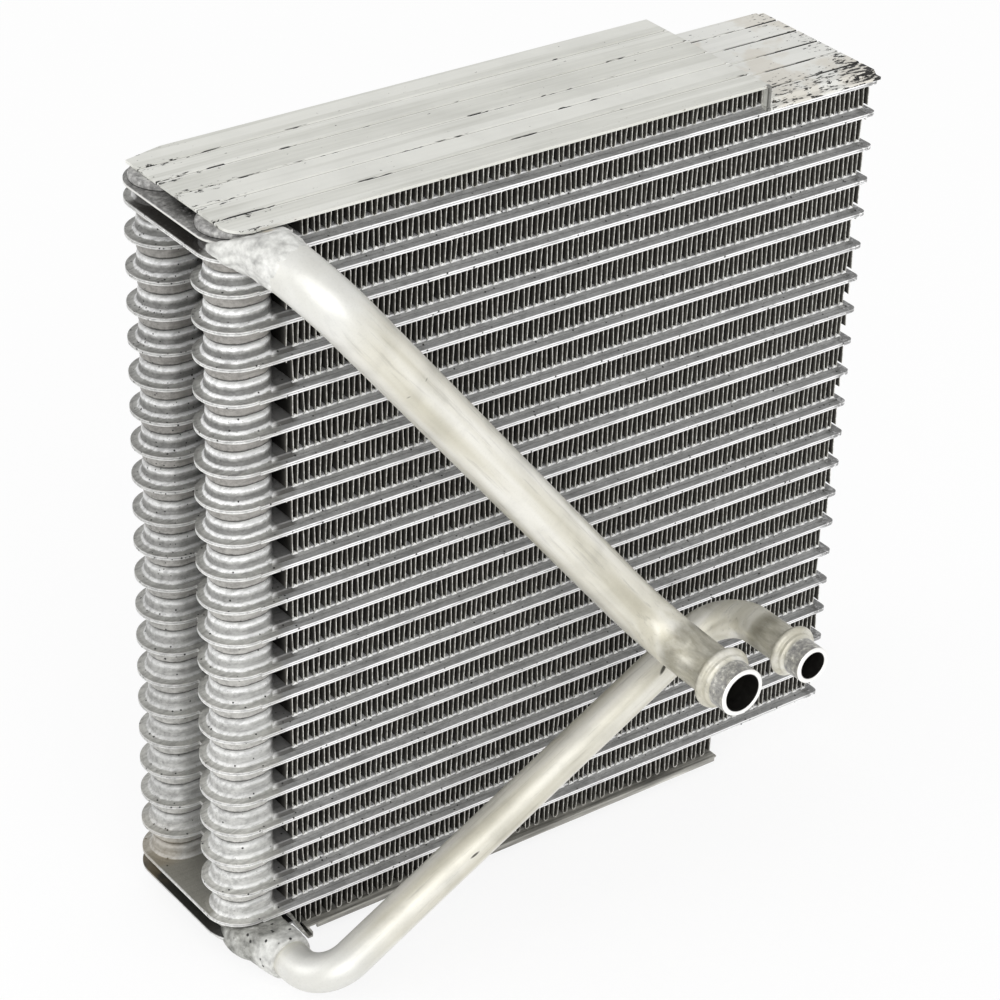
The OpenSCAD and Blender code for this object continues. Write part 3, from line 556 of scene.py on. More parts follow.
def drawn_tube(name, route, neck_mm, marks, reflection_spots):
    """Drawn aluminium tube: creamy satin under a thin matt film, with draw lines and soft
    clouds along it, a few dark scratches, a dark painted reflection on the neck and on a
    few spots, and painted shade that makes the bore nearly black. The neck reaches neck_mm
    back from the mouth. Scratches are (start, end, width in mm), and the spots of painted
    reflection (place, radius in mm), on the core's axes."""
    material, tree, shader, spot, split = new_material(name, 0.4, 0.37)
    grain = drawn_along(tree, spot, route.across)
    cloud = lumps(tree, spot, 16, 3, 0.5)
    lines = lumps(tree, grain, 1.3, 4, 0.6)
    broad = lumps(tree, grain, 6, 2, 0.5)
    fine = lumps(tree, spot, 0.7, 4, 0.6)
    tone = add_node(tree, "ShaderNodeValToRGB", {"stops": [
        (0.35, "#c9c5b5"), (0.5, "#dad7cb"), (0.65, "#e6e4dc")]}, {0: broad}).outputs[0]
    tone = shade(tree, tone, cloud, 0.3, 0.5, 0.86)
    tone = shade(tree, tone, lines, 0.3, 0.44, 0.8)
    tone = coat(tree, tone, "#d9d9d5", mark_at(tree, spot, on_core(route.near), 12, 16), 0.8)
    tone = shade(tree, tone, fine, 0.3, 0.5, 0.95)
    y = route.mouth.y / MM
    near = mark_at(tree, spot, on_core(route.mouth), 29, 4)
    # A dark painted reflection on the neck, darkest in a band where the far bend ends.
    dark_reflection = add_node(tree, "ShaderNodeValToRGB", {"stops": [
        (0.35, "#8a8676"), (0.5, "#aba797"), (0.65, "#cac7ba")]},
        {0: lumps(tree, spot, 2.5, 4, 0.65, (1, 0.25, 1))})
    neck = band(tree, split.outputs["Y"], (y + 11.5) * MM, (y + neck_mm - 3) * MM, 4 * MM)
    edge = band(tree, split.outputs["Y"], (y + neck_mm - 4) * MM, (y + neck_mm - 2) * MM,
                3 * MM)
    tone = coat(tree, tone, dark_reflection.outputs[0], times(tree, neck, near), 0.72)
    tone = coat(tree, tone, "#6f6b5d", times(tree, edge, near), 0.4)
    # Spots of the same dark painted reflection near the far bend.
    for centre, radius in reflection_spots:
        tone = coat(tree, tone, dark_reflection.outputs[0],
                    mark_at(tree, spot, centre, radius * 0.4, radius * 0.6), 0.6)
    for start, end, width in marks:
        tone = coat(tree, tone, "#35322b", scratch_at(tree, spot, start, end, width), 0.9)
    tone = coat(tree, tone, "#5a564c", pits(tree, spot, 7.5, 0.34, 0.1))
    # The mottled pilot past the bead, its bright mouth, and painted shade that makes the bore
    # nearly black.
    off_axis = add_node(tree, "ShaderNodeVectorMath", {"operation": "DISTANCE"},
                        {0: add_node(tree, "ShaderNodeVectorMath", {"operation": "MULTIPLY"},
                                     {0: spot, 1: (1, 0, 1)}),
                         1: (route.mouth.x, 0, route.mouth.z)})
    grey = add_node(tree, "ShaderNodeValToRGB", {"stops": [
        (0.35, "#77767a"), (0.5, "#9c9b97"), (0.62, "#c9c7c0"), (0.7, "#eeedea")]},
        {0: lumps(tree, spot, 1.5, 4, 0.65)})
    pilot = band(tree, split.outputs["Y"], (y + 0.5) * MM, (y + PILOT - 2.2) * MM, 0.4 * MM)
    tone = coat(tree, tone, grey.outputs[0], times(tree, pilot, near), 0.85)
    tone = coat(tree, tone, "#f6f5f2", times(
        tree, near, band(tree, split.outputs["Y"], -9.0, (y + 0.35) * MM, 0.1 * MM)))
    # The bore: painted shade, nearly black.
    tone = coat(tree, tone, "#14120f", times(
        tree, near, band(tree, off_axis.outputs["Value"], -1.0, route.bore + 0.05 * MM,
                         0.1 * MM)), 0.97)
    tree.links.new(tone, shader.inputs["Base Color"])
    relief(tree, shader, [(fine, 0.04), (lines, 0.05), (cloud, 0.2)])
    return material


def suction_tube():
    """The wide pipe's finish: a scratch high up, and small ones at the lower bend."""
    return drawn_tube("drawn_suction_tube_aluminium", SUCTION, 28.0, [
        ((45.6, -34.4, 198.1), (39.7, -33.6, 193.4), 0.8),
        ((142.3, -33.0, 86.6), (140.6, -33.4, 87.4), 0.9),
        ((118.0, -33.5, 116.0), (131.0, -33.8, 100.2), 0.7)],
        # A spot of dark painted reflection above the lower bend.
        [((133.0, -30.0, 92.0), 7.0)])


def liquid_tube():
    """The narrow pipe's finish: long thin scratches and a nick behind the wide pipe."""
    return drawn_tube("drawn_liquid_tube_aluminium", LIQUID, 24.0, [
        ((67.0, -34.0, 23.0), (70.0, -33.9, 24.2), 0.7),
        ((145.0, -28.9, 63.4), (142.2, -29.8, 60.8), 1.1),
        ((96.0, -32.0, 40.2), (132.0, -30.2, 57.8), 0.6),
        ((84.0, -26.0, 36.0), (107.0, -25.2, 47.2), 0.5)],
        # A spot of dark painted reflection near the far bend.
        [((166.0, -24.0, 78.0), 5.0)])


def braze():
    """Braze and weld metal at the pipe joints: whitish and lumpy, with grey flux film,
    swirls and black pits."""
    material, tree, shader, spot, split = new_material("aluminium_braze_fillet", 0.12, 0.5)
    lump = lumps(tree, spot, 3.2, 4, 0.6)
    swirl = add_node(tree, "ShaderNodeTexWave", {"wave_type": "RINGS"},
                     {"Vector": spot, "Scale": 1 / (14 * MM), "Distortion": 9.0,
                      "Detail": 3.0, "Detail Scale": 1.4})
    tone = add_node(tree, "ShaderNodeValToRGB", {"stops": [
        (0.3, "#a9a9a6"), (0.45, "#c9c9c5"), (0.6, "#dcdcd8"), (0.75, "#ebebe8")]},
        {0: lump}).outputs[0]
    low = band(tree, split.outputs["Z"], -1.0, 0.05, 0.02)
    rough = add_node(tree, "ShaderNodeValToRGB", {"stops": [
        (0.3, "#63635f"), (0.45, "#8f8f8a"), (0.6, "#b1b1ac"), (0.75, "#dcdcd8")]},
        {0: lump})
    tone = coat(tree, tone, rough.outputs[0], times(tree, low, add_node(
        tree, "ShaderNodeMath", {"operation": "SUBTRACT", "use_clamp": True},
        {0: 1.0, 1: zone(tree, split, "Y", -20, -9, 3)})))
    tone = shade(tree, tone, swirl.outputs["Fac"], 0.0, 0.3, 0.85)
    holes = times(tree, low, pits(tree, spot, 2.2, 0.6, 0.34))
    tone = coat(tree, tone, "#262523", holes)
    tone = coat(tree, tone, "#84827b", mark_at(tree, spot, (8.6, -5.2, 232.2), 0.9, 0.4))
    tone = coat(tree, tone, "#b7a98f", mark_at(tree, spot, (15.0, -1.5, 238.0), 0.7, 1.8), 0.6)
    tree.links.new(tone, shader.inputs["Base Color"])
    relief(tree, shader, [(lump, 0.35), (swirl.outputs["Fac"], 0.12), (holes, -0.3)])
    return material


# Share of plain white in what the camera sees of the floor.
FLOOR_WHITE = 0.85


def studio_floor():
    """Pale seamless studio floor. It shows itself mostly white to the camera and in
    reflections, and the rest of it takes the light, so that it keeps a soft shadow."""
    material, tree, shader, _, _ = new_material("pale_studio_floor", 0.0, 0.9)
    shader.inputs["Base Color"].default_value = linear("#ffffff")
    shader.inputs["Specular IOR Level"].default_value = 0.1
    path = add_node(tree, "ShaderNodeLightPath")
    seen = add_node(tree, "ShaderNodeMath", {"operation": "MAXIMUM"},
                    {0: path.outputs["Is Camera Ray"], 1: path.outputs["Is Glossy Ray"]})
    seen = add_node(tree, "ShaderNodeMath", {"operation": "MAXIMUM"},
                    {0: seen, 1: path.outputs["Is Transmission Ray"]})
    share = times(tree, seen, FLOOR_WHITE)
    white = add_node(tree, "ShaderNodeEmission", None, {"Color": "#ffffff", "Strength": 1.0})
    both = add_node(tree, "ShaderNodeMixShader", None, {0: share, 1: shader, 2: white})
    output = next(n for n in tree.nodes if n.bl_idname == "ShaderNodeOutputMaterial")
    tree.links.new(both.outputs[0], output.inputs["Surface"])
    return material


FINISHES = {}


def finish(name):
    """The finish of that name, made on its first use."""
    makers = {"core_sheet": brazed_sheet, "side_sheet": side_sheet,
              "fin_strip": fin_strip, "fin_fillet": fin_fillet, "braze": braze,
              "suction_tube": suction_tube, "liquid_tube": liquid_tube,
              "pipe": suction_tube, "floor": studio_floor}
    if name not in FINISHES:
        FINISHES[name] = makers[name]()
    return FINISHES[name]


def dress(piece, name):
    """Gives a piece one finish all over."""
    piece.data.materials.clear()
    piece.data.materials.append(finish(name))


# Settings


class EvaporatorFins(bpy.types.PropertyGroup):
    """Sizes of the corrugated fin strips, in millimetres."""

    gap: bpy.props.FloatProperty(name="Wall spacing", default=1.95, min=1.5, max=4,
                                 description="Distance between neighbouring fin walls")
    strip: bpy.props.FloatProperty(name="Strip", default=0.2, min=0.1, max=0.5,
                                   description="Thickness of the strip, as coarse as it "
                                               "needs to be to show")
    reach: bpy.props.FloatProperty(name="Reach", default=1.0, min=0, max=2,
                                   description="How far the strips stand out past the "
                                               "packed ones, at the front and back")
    crest: bpy.props.FloatProperty(name="Crest", default=0.7, min=0.2, max=0.9,
                                   description="Rounding of the crests")
    sway: bpy.props.FloatProperty(name="Sway", default=0.8, min=0, max=3,
                                  description="How far the walls lean out of line")
    taper: bpy.props.FloatProperty(name="Taper", default=0.18, min=0, max=0.8,
                                   description="How much a wall leans in from its crest "
                                               "to its foot")
    fillet: bpy.props.FloatProperty(name="Foot fillet", default=0.95, min=0.1, max=1.5,
                                    description="Height of the braze at the fins' feet")


class EvaporatorStage(bpy.types.PropertyGroup):
    """Light of the studio."""

    sky: bpy.props.FloatProperty(name="Sky", default=0.9, min=0, max=3,
                                 description="Strength of the even light all round")
    key: bpy.props.FloatProperty(name="Key", default=19.0, min=0, max=200, unit="POWER",
                                 description="Power of the large soft key light")
    rim: bpy.props.FloatProperty(name="Rim", default=4.0, min=0, max=200, unit="POWER",
                                 description="Power of the light from the tank side")


# Pieces


class EVAPORATOR_OT_core_finish(bpy.types.Operator):
    """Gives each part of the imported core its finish"""

    bl_idname = "evaporator.core_finish"
    bl_label = "Core finishes"

    def execute(self, context):
        for entry in frame["record"]["subparts"]:
            node = frame["nodes"][entry["node"]]
            for slot in node.material_slots:
                slot.material = finish(entry["material_slot"])
            if not node.material_slots:
                node.data.materials.append(finish(entry["material_slot"]))
        return {"FINISHED"}


def edges_where(piece, test):
    """Selects the edges of the piece in edit mode that pass the test, and no others."""
    bpy.ops.mesh.select_mode(type="EDGE")
    bpy.ops.mesh.select_all(action="DESELECT")
    mesh = bmesh.from_edit_mesh(piece.data)
    for edge in mesh.edges:
        if test(edge):
            edge.select_set(True)
    bmesh.update_edit_mesh(piece.data)


def edit(piece):
    """Opens a piece in edit mode, alone and active."""
    deselect()
    piece.select_set(True)
    bpy.context.view_layer.objects.active = piece
    bpy.ops.object.mode_set(mode="EDIT")


def clouds(name, size_mm):
    """A cloud texture for a Displace modifier, with lumps about size_mm across."""
    texture = bpy.data.textures.new(name, "CLOUDS")
    texture.noise_scale = size_mm * MM
    return texture


def fin_box(name, settings):
    """The corners of a layer's strip, in metres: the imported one's, with its reach."""
    low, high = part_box(name)
    reach = Vector((0, settings.reach * MM, 0))
    return Vector(low) - reach, Vector(high) + reach


def fin_waves(low, high, settings):
    """How many waves a strip has between two corners, and its wall spacing in metres."""
    width = high[0] - low[0] - 2 * PACKED_HALF * MM
    waves = round((width / (settings.gap * MM) + 1) / 2)
    return waves, width / (2 * waves - 1)


def fin_run(name, low, high, settings):
    """Models one corrugated strip in the box between two corners, in metres: one wave is
    extruded from an edge, its crests are bevelled round, and it is repeated."""
    half = settings.strip * MM / 2
    waves, gap = fin_waves(low, high, settings)
    first = low[0] + PACKED_HALF * MM
    taper = settings.taper * MM
    depth = high[1] - low[1]
    rise = high[2] - low[2] - 2 * half
    deselect()
    bpy.ops.mesh.primitive_plane_add(size=1, location=(
        first - gap / 4 - taper / 2, (low[1] + high[1]) / 2, low[2] + half))
    strip = take(name)
    strip.scale = (gap / 2 - taper, depth, 1)
    settle(strip)
    edit(strip)
    edges_where(strip, lambda e: all(v.co.x > first - gap / 4 - taper / 2 for v in e.verts))
    for step in ((taper, 0, rise), (gap, 0, 0), (taper, 0, -rise), (gap / 2 - taper, 0, 0)):
        bpy.ops.mesh.extrude_region_move(TRANSFORM_OT_translate={"value": step})
    edges_where(strip, lambda e: len(e.link_faces) == 2)
    bpy.ops.mesh.bevel(offset=settings.crest * MM, segments=3, affect="EDGES")
    bpy.ops.object.mode_set(mode="OBJECT")
    repeat_along(strip, waves, 2 * gap, merge=True)
    lean = strip.modifiers.new("lean", "DISPLACE")
    lean.texture = clouds("lean", 3.5)
    lean.texture_coords = "LOCAL"
    lean.direction = "X"
    lean.strength = settings.sway * MM
    finish_modifiers(strip)
    edit(strip)
    ends = [((first - half, 0, 0), (1, 0, 0)), ((high[0], 0, 0), (-1, 0, 0))]
    if low[2] < place(0, 0, -PAIR_HALF).z:
        ends.append((place(FIN_START, 0, -PAIR_HALF), (math.cos(SLANT), 0, math.sin(SLANT))))
    for at, kept_side in ends:
        bpy.ops.mesh.select_all(action="SELECT")
        bpy.ops.mesh.bisect(plane_co=at, plane_no=kept_side, clear_inner=True)
    bpy.ops.object.mode_set(mode="OBJECT")
    wall = strip.modifiers.new("strip", "SOLIDIFY")
    wall.thickness = 2 * half
    wall.offset = 0
    finish_modifiers(strip)
    bpy.ops.object.shade_smooth_by_angle(angle=math.radians(50))
    return strip


def repeat_along(piece, count, step, axis=0, merge=False):
    """Gives a piece an array of copies a step apart along an axis."""
    repeat = piece.modifiers.new("repeat", "ARRAY")
    repeat.use_relative_offset = False
    repeat.use_constant_offset = True
    offset = [0, 0, 0]
    offset[axis] = step
    repeat.constant_offset_displace = offset
    repeat.count = count
    repeat.use_merge_vertices = merge
    repeat.merge_threshold = 0.01 * MM


def foot_fillets(low, high, settings):
    """Models the braze in the feet of one layer: a wedge across each second gap, at the
    front and at the back."""
    waves, gap = fin_waves(low, high, settings)
    lap, deep, sunk = 0.35 * MM, 0.7 * MM, 0.05 * MM
    across = gap - 2 * settings.taper * MM + lap
    tall = settings.fillet * MM
    first = low[0] + PACKED_HALF * MM + 1.5 * gap
    deselect()
    bpy.ops.mesh.primitive_cube_add(size=1, location=(
        first, low[1] + deep / 2 - sunk, low[2] + tall / 2))
    wedge = take("fillet")
    wedge.scale = (across, deep, tall)
    settle(wedge)
    edit(wedge)
    edges_where(wedge, lambda e: all(v.co.z > low[2] + tall / 2 and v.co.x < first
                                     for v in e.verts))
    bpy.ops.transform.translate(value=(0.38 * across, 0, 0))
    edges_where(wedge, lambda e: all(v.co.z > low[2] + tall / 2 and v.co.x > first + across / 4
                                     for v in e.verts))
    bpy.ops.transform.translate(value=(-0.3 * across, 0, -0.2 * tall))
    bpy.ops.object.mode_set(mode="OBJECT")
    repeat_along(wedge, waves - 1, 2 * gap)
    repeat_along(wedge, 2, high[1] - low[1] - deep + 2 * sunk, axis=1)
    uneven = wedge.modifiers.new("uneven", "DISPLACE")
    uneven.texture = clouds("fillet", 2.5)
    uneven.texture_coords = "LOCAL"
    uneven.direction = "Z"
    uneven.strength = 0.45 * MM
    uneven.mid_level = 0.5
    finish_modifiers(wedge)
    return wedge


class EVAPORATOR_OT_fins(bpy.types.Operator):
    """Replaces the square fin strips with rounded, slightly uneven ones"""

    bl_idname = "evaporator.fins"
    bl_label = "Fin strips"

    def execute(self, context):
        settings = context.scene.evaporator_fins
        for name in [n for n in frame["nodes"] if "fin_layer" in n]:
            low, high = fin_box(name, settings)
            strip = fin_run(name.replace("layer", "strip"), low, high, settings)
            dress(strip, "fin_strip")
            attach(strip, BODY)
            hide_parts(name)
        layers = [n for n in frame["nodes"] if n.startswith("fin_layer")]
        wedges = [foot_fillets(*fin_box(name, settings), settings) for name in layers]
        fillets = joined("fin_fillets", wedges)
        dress(fillets, "fin_fillet")
        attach(fillets, BODY)
        return {"FINISHED"}


def ring(name, centre, axis, radius, segments=64):
    """Starts a tube: a ring of vertices round a centre, facing along an axis."""
    deselect()
    bpy.ops.mesh.primitive_circle_add(vertices=segments, radius=radius, location=centre,
                                      rotation=axis.to_track_quat("Z", "Y").to_euler())
    piece = take(name)
    settle(piece)
    edit(piece)
    bpy.ops.mesh.select_all(action="SELECT")
    return piece


def run_on(step):
    """Extrudes the selected ring by a step."""
    bpy.ops.mesh.extrude_region_move(TRANSFORM_OT_translate={"value": step})


def bend_on(corner, before, after, radius, steps=20, begin=0.0):
    """Spins the selected ring round a bend at a corner, between two directions. begin is
    the angle that the ring already stands at."""
    turn = before.angle(after)
    side = (after - before * before.dot(after)).normalized()
    centre = corner - before * radius * math.tan(turn / 2) + side * radius
    bpy.ops.mesh.spin(steps=steps, angle=begin - turn, center=centre,
                      axis=before.cross(after).normalized())


def lip_on(centre, axis, profile, radius):
    """Carries the selected ring through a turned profile of (distance, radius) pairs."""
    here, size = 0.0, radius
    for along, wide in profile:
        run_on(axis * (along - here))
        bpy.ops.transform.resize(value=(wide / size,) * 3,
                                 center_override=centre + axis * along)
        here, size = along, wide


class PipeRoute:
    """The axis of one pipe, in metres: two corners between three straight runs."""

    def __init__(self, near, far, neck, bend_near, bend_far, outside, wall):
        self.out = Vector((0, -1, 0))
        self.near = place(*near)
        self.far = place(*far)
        self.across = (self.far - self.near).normalized()
        self.bend_near = bend_near * MM
        self.bend_far = bend_far * MM
        self.radius = outside / 2 * MM
        self.bore = (outside / 2 - wall) * MM
        self.mouth = self.far + self.out * (self.step(self.bend_far)
                                            + (neck + BEAD + PILOT) * MM)

    def step(self, radius):
        """Distance from a corner to where its bend begins."""
        return radius * math.tan(self.out.angle(self.across) / 2)

    def side(self):
        """The direction, square to the way out, that the first bend leads to."""
        return (self.across - self.out * self.out.dot(self.across)).normalized()

    def start(self):
        """Where the first bend begins."""
        return self.near - self.out * self.step(self.bend_near)


# The pipes' ends, in millimetres: pilot and bead along the pipe, the bead's height and
# rounding, the shoulder after the bead as distance and height, and the mouth's rounding.
PILOT = 8.6
BEAD = 3.0
BEAD_RISE = 2.4
BEAD_ROUND = 1.3
SHOULDER = [(3.0, 0.9), (3.9, 0.75), (4.4, 0.1), (4.7, 0.0)]
MOUTH_ROUND = 0.4
BORE_ROUND = 0.3
BORE_DEPTH = 22
SUCTION = PipeRoute((12.4, -26.5, 233.7), (142.2, -28.6, 75.9), 2.7, 22, 26, 15.9, 1.6)
LIQUID = PipeRoute((13.8, -31, -5.7), (173.4, -23, 72.7), 15.6, 12.4, 14.8, 12.4, 1.6)

# Where the pipes come out of their joints: in the first bend, and before it.
SUCTION_BEGIN = math.radians(13)
LIQUID_ROOT = place(13.8, -9.7, -5.7)


def bent_pipe(name, route, begin=0.0, root=None):
    """Models a pipe from its root inside the collar to its beaded mouth and into its
    bore. The root is a place before the first bend, or at the angle begin in it."""
    r = route.radius
    if root is None:
        side = route.side()
        spoke = route.out * math.sin(begin) - side * math.cos(begin)
        way = route.out * math.cos(begin) + side * math.sin(begin)
        pipe = ring(name, route.start() + (side + spoke) * route.bend_near, way, r)
    else:
        pipe = ring(name, root, route.out, r)
        run_on(route.start() - root)
    bend_on(route.near, route.out, route.across, route.bend_near, begin=begin)
    length = (route.far - route.near).length
    run_on(route.across * (length - route.step(route.bend_near)
                           - route.step(route.bend_far)))
    bend_on(route.far, route.across, route.out, route.bend_far)
    straight = (route.mouth - route.far).length - route.step(route.bend_far)
    here = route.mouth - route.out * straight
    neck = straight - (PILOT + BEAD) * MM
    rim = r + BEAD_RISE * MM
    profile = [(neck, r), (neck + 0.2 * MM, r + 0.5 * MM)]
    for i in range(9):
        turn = math.pi * i / 8
        profile.append((neck + (BEAD / 2 - BEAD_ROUND * math.cos(turn)) * MM,
                        rim + BEAD_ROUND * (math.sin(turn) - 1) * MM))
    profile += [(neck + far * MM, r + high * MM) for far, high in SHOULDER]
    profile += [(straight - MOUTH_ROUND * MM, r), (straight, r - MOUTH_ROUND * MM),
                (straight, route.bore + BORE_ROUND * MM),
                (straight - BORE_ROUND * MM, route.bore),
                (straight - BORE_DEPTH * MM, route.bore)]
    lip_on(here, route.out, profile, r)
    bpy.ops.mesh.edge_face_add()
    bpy.ops.mesh.select_all(action="SELECT")
    bpy.ops.mesh.remove_doubles(threshold=0.002 * MM)
    bpy.ops.mesh.normals_make_consistent(inside=False)
    bpy.ops.object.mode_set(mode="OBJECT")
    bpy.ops.object.shade_smooth_by_angle(angle=math.radians(35))
    dress(pipe, name)
    return pipe


class EVAPORATOR_OT_pipes(bpy.types.Operator):
    """Models the suction pipe and the liquid pipe"""

    bl_idname = "evaporator.pipes"
    bl_label = "Pipes"

    def execute(self, context):
        for name, pipe in (
                ("suction_tube", bent_pipe("suction_tube", SUCTION, begin=SUCTION_BEGIN)),
                ("liquid_tube", bent_pipe("liquid_tube", LIQUID, root=LIQUID_ROOT))):
            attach(pipe, BODY)
            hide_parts(name.replace("tube", "pipe"))
        return {"FINISHED"}


def block(low, high):
    """Adds a block between two corners, in millimetres on the core's axes."""
    deselect()
    a, b = place(*low), place(*high)
    bpy.ops.mesh.primitive_cube_add(size=1, location=(a + b) / 2)
    piece = take("block")
    piece.scale = b - a
    settle(piece)
    return piece


def ball(centre, radii):
    """Adds an ellipsoid, in millimetres on the core's axes."""
    deselect()
    bpy.ops.mesh.primitive_uv_sphere_add(segments=32, ring_count=16, radius=1,
                                         location=place(*centre))
    piece = take("ball")
    piece.scale = [r * MM for r in radii]
    settle(piece)
    return piece


def sleeve(start, end, radius_start, radius_end):
    """Adds a solid cone between two places, in millimetres on the core's axes."""
    a, b = place(*start), place(*end)
    axis = (b - a).normalized()
    piece = ring("sleeve", a, axis, radius_start * MM)
    bpy.ops.mesh.edge_face_add()
    lip_on(a, axis, [((b - a).length, radius_end * MM)], radius_start * MM)
    bpy.ops.mesh.select_all(action="SELECT")
    bpy.ops.mesh.normals_make_consistent(inside=False)
    bpy.ops.object.mode_set(mode="OBJECT")
    return piece


# Grain of the remeshed joints, in millimetres.
VOXEL = 0.45


def melt(piece):
    """Gives a piece a remesh, which makes one skin of its parts."""
    skin = piece.modifiers.new("melt", "REMESH")
    skin.mode = "VOXEL"
    skin.voxel_size = VOXEL * MM


def braze_lump(name, parts, foot, fall, lumps_mm, relief_mm, smooth=6):
    """Melts parts into one brazed lump: they are joined, remeshed, cut off above a plane
    that falls towards the back from its foot, smoothed and made uneven."""
    lump = joined(name, parts)
    melt(lump)
    finish_modifiers(lump)
    edit(lump)
    bpy.ops.mesh.select_all(action="SELECT")
    bpy.ops.mesh.bisect(plane_co=place(*foot), plane_no=(0, fall, 1), clear_outer=True,
                        use_fill=True)
    bpy.ops.object.mode_set(mode="OBJECT")
    melt(lump)
    flow = lump.modifiers.new("flow", "SMOOTH")
    flow.factor = 0.6
    flow.iterations = smooth
    uneven = lump.modifiers.new("uneven", "DISPLACE")
    uneven.texture = clouds("braze_" + name, lumps_mm)
    uneven.texture_coords = "LOCAL"
    uneven.strength = relief_mm * MM
    finish_modifiers(lump)
    bpy.ops.object.shade_smooth()
    dress(lump, "braze")
    return lump


def bend_sleeve(route, radius, turn):
    """Adds a solid sleeve that follows the first bend up to an angle."""
    piece = ring("sleeve", route.start(), route.out, radius)
    bpy.ops.mesh.edge_face_add()
    centre = route.start() + route.side() * route.bend_near
    bpy.ops.mesh.spin(steps=10, angle=-turn, center=centre,
                      axis=route.out.cross(route.across).normalized())
    bpy.ops.mesh.select_all(action="SELECT")
    bpy.ops.mesh.normals_make_consistent(inside=False)
    bpy.ops.object.mode_set(mode="OBJECT")
    return piece


class EVAPORATOR_OT_joints(bpy.types.Operator):
    """Models the brazed joints between the tanks and the two pipes"""

    bl_idname = "evaporator.joints"
    bl_label = "Pipe joints"

    def execute(self, context):
        top = pair_z(20)
        suction = braze_lump("suction_joint", [
            bend_sleeve(SUCTION, 8.35 * MM, math.radians(19)),
            bend_sleeve(SUCTION, 8.1 * MM, math.radians(27)),
            sleeve((12.4, 2, top + 4.5), (12.4, -4.8, top + 4.5), 9.4, 8.3),
            block((4.5, -1.2, top + 0.4), (20.2, 4, top + 8.2)),
            ball((6.5, 2.0, top + 3.4), (5.6, 4.6, 4.8)),
            ball((3.2, 5.4, top + 4.2), (3.6, 4.2, 2.9)),
        ], (0, 0, top + 8.0), 0.42, 2.6, 0.7)
        liquid = braze_lump("liquid_joint", [
            sleeve((11.5, 5, -5.6), (13.8, -11, -5.7), 8.3, 8.1),
            sleeve((13.8, -11, -5.7), (13.8, -14.2, -5.7), 7.9, 7.5),
            block((3, -1.5, -5.6), (20, 3.5, -1.4)),
            ball((7.6, 3.0, -6.4), (6.0, 10.0, 5.0)),
        ], (0, 0, -0.9), 0.22, 2.6, 0.45)
        for lump, node in ((suction, "suction_collar"), (liquid, "liquid_collar")):
            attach(lump, BODY)
            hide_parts(node)
        return {"FINISHED"}


# Studio

# The photograph's camera: its place on the core's axes in millimetres, its right, down
# and forward directions, and its lens for a 36 mm sensor.
CAMERA_AT = (-410.21, -666.80, 627.58)
CAMERA_RIGHT = Vector((0.8064, -0.5905, 0.0332))
CAMERA_DOWN = Vector((-0.2812, -0.4322, -0.8568))
CAMERA_AHEAD = Vector((0.5202, 0.6816, -0.5146))
LENS = 115.806


# Places, in metres, and sizes of the two soft lights, and the point that they face.
KEY_AT, KEY_SIZE = (-0.8, -1.6, 0.75), 2.0
RIM_AT, RIM_SIZE = (-1.4, 0.4, 0.7), 1.0
LIGHT_AIM = Vector((0, 0, 0.12))


def area_light(name, at, size, power):
    """Adds a square soft light that faces the middle of the core."""
    light = bpy.data.lights.new(name, "AREA")
    light.shape = "SQUARE"
    light.size = size
    light.energy = power
    lamp = bpy.data.objects.new(name, light)
    bpy.context.scene.collection.objects.link(lamp)
    lamp.location = at
    lamp.rotation_euler = (LIGHT_AIM - Vector(at)).to_track_quat("-Z", "Y").to_euler()
    return lamp


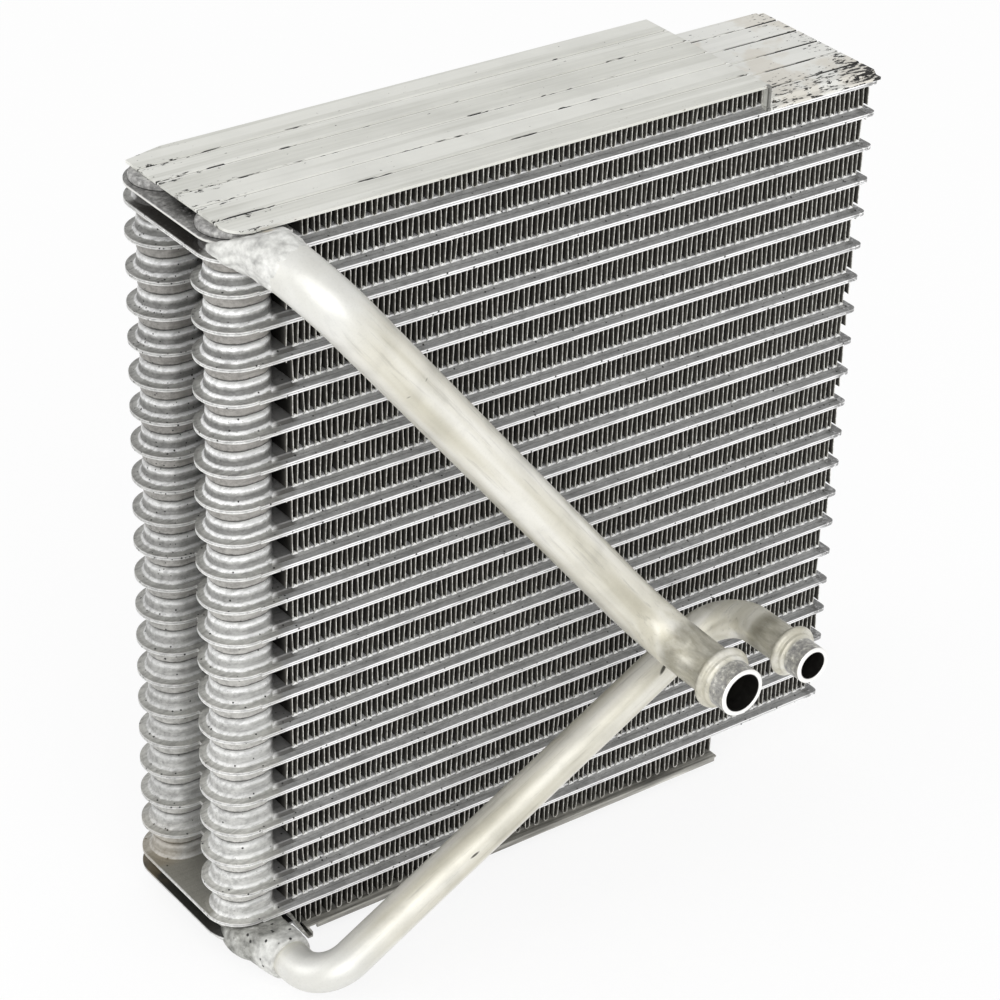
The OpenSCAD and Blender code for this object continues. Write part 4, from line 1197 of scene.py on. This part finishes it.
class EVAPORATOR_OT_stage(bpy.types.Operator):
    """Sets up the camera, the floor, the lights and the sky"""

    bl_idname = "evaporator.stage"
    bl_label = "Studio"

    def execute(self, context):
        settings = context.scene.evaporator_stage
        scene = context.scene
        right, up, back = CAMERA_RIGHT.normalized(), -CAMERA_DOWN, -CAMERA_AHEAD
        up = (up - right * up.dot(right)).normalized()
        back = right.cross(up)
        camera = bpy.data.objects.new("camera", bpy.data.cameras.new("camera"))
        scene.collection.objects.link(camera)
        turn = Matrix((right, up, back)).transposed().to_4x4()
        camera.matrix_world = Matrix.Translation(place(*CAMERA_AT)) @ turn
        camera.data.sensor_width = 36
        camera.data.lens = LENS
        camera.data.clip_start = 0.01
        camera.data.clip_end = 50
        scene.camera = camera

        deselect()
        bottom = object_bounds()[0][2]
        bpy.ops.mesh.primitive_plane_add(size=12, location=(0, 0, bottom))
        floor = take("floor")
        settle(floor)
        dress(floor, "floor")
        floor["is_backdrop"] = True

        area_light("key", KEY_AT, KEY_SIZE, settings.key)
        area_light("rim", RIM_AT, RIM_SIZE, settings.rim)

        # An even sky, a little brighter low in front than overhead and behind the object.
        world = bpy.data.worlds.new("studio_sky")
        world.use_nodes = True
        tree = world.node_tree
        sky = tree.nodes["Background"]
        way = add_node(tree, "ShaderNodeTexCoord").outputs["Generated"]
        lift = add_node(tree, "ShaderNodeVectorMath", {"operation": "DOT_PRODUCT"},
                        {0: way, 1: (0.25, 0.45, 0.86)})
        grade = add_node(tree, "ShaderNodeValToRGB", {"stops": [
            (0.0, "#ffffff"), (0.4, "#f6f6f6"), (0.75, "#ececec")]},
            {0: lift.outputs["Value"]})
        tree.links.new(grade.outputs[0], sky.inputs["Color"])
        sky.inputs["Strength"].default_value = settings.sky
        scene.world = world
        scene.view_settings.view_transform = "Standard"
        return {"FINISHED"}


class EVAPORATOR_PT_sidebar(bpy.types.Panel):
    """Lists the pieces and their settings"""

    bl_label = "Evaporator"
    bl_idname = "EVAPORATOR_PT_sidebar"
    bl_space_type = "VIEW_3D"
    bl_region_type = "UI"
    bl_category = "Evaporator"

    def draw(self, context):
        layout = self.layout
        for group in (context.scene.evaporator_fins, context.scene.evaporator_stage):
            for key in group.bl_rna.properties.keys():
                if key not in ("rna_type", "name"):
                    layout.prop(group, key)
        for operator in OPERATORS:
            layout.operator(operator.bl_idname)


OPERATORS = (
    EVAPORATOR_OT_core_finish,
    EVAPORATOR_OT_fins,
    EVAPORATOR_OT_pipes,
    EVAPORATOR_OT_joints,
    EVAPORATOR_OT_stage,
)
CLASSES = (EvaporatorFins, EvaporatorStage, *OPERATORS, EVAPORATOR_PT_sidebar)


def register():
    """Registers the classes and hangs the settings on the scene."""
    for item in CLASSES:
        bpy.utils.register_class(item)
    bpy.types.Scene.evaporator_fins = bpy.props.PointerProperty(type=EvaporatorFins)
    bpy.types.Scene.evaporator_stage = bpy.props.PointerProperty(type=EvaporatorStage)


def unregister():
    """Takes the settings off the scene and unregisters the classes."""
    del bpy.types.Scene.evaporator_stage
    del bpy.types.Scene.evaporator_fins
    for item in reversed(CLASSES):
        bpy.utils.unregister_class(item)


def main():
    """Makes every piece in order."""
    register()
    bpy.ops.evaporator.core_finish()
    bpy.ops.evaporator.fins()
    bpy.ops.evaporator.pipes()
    bpy.ops.evaporator.joints()
    bpy.ops.evaporator.stage()


if __name__ == "__main__":
    main()
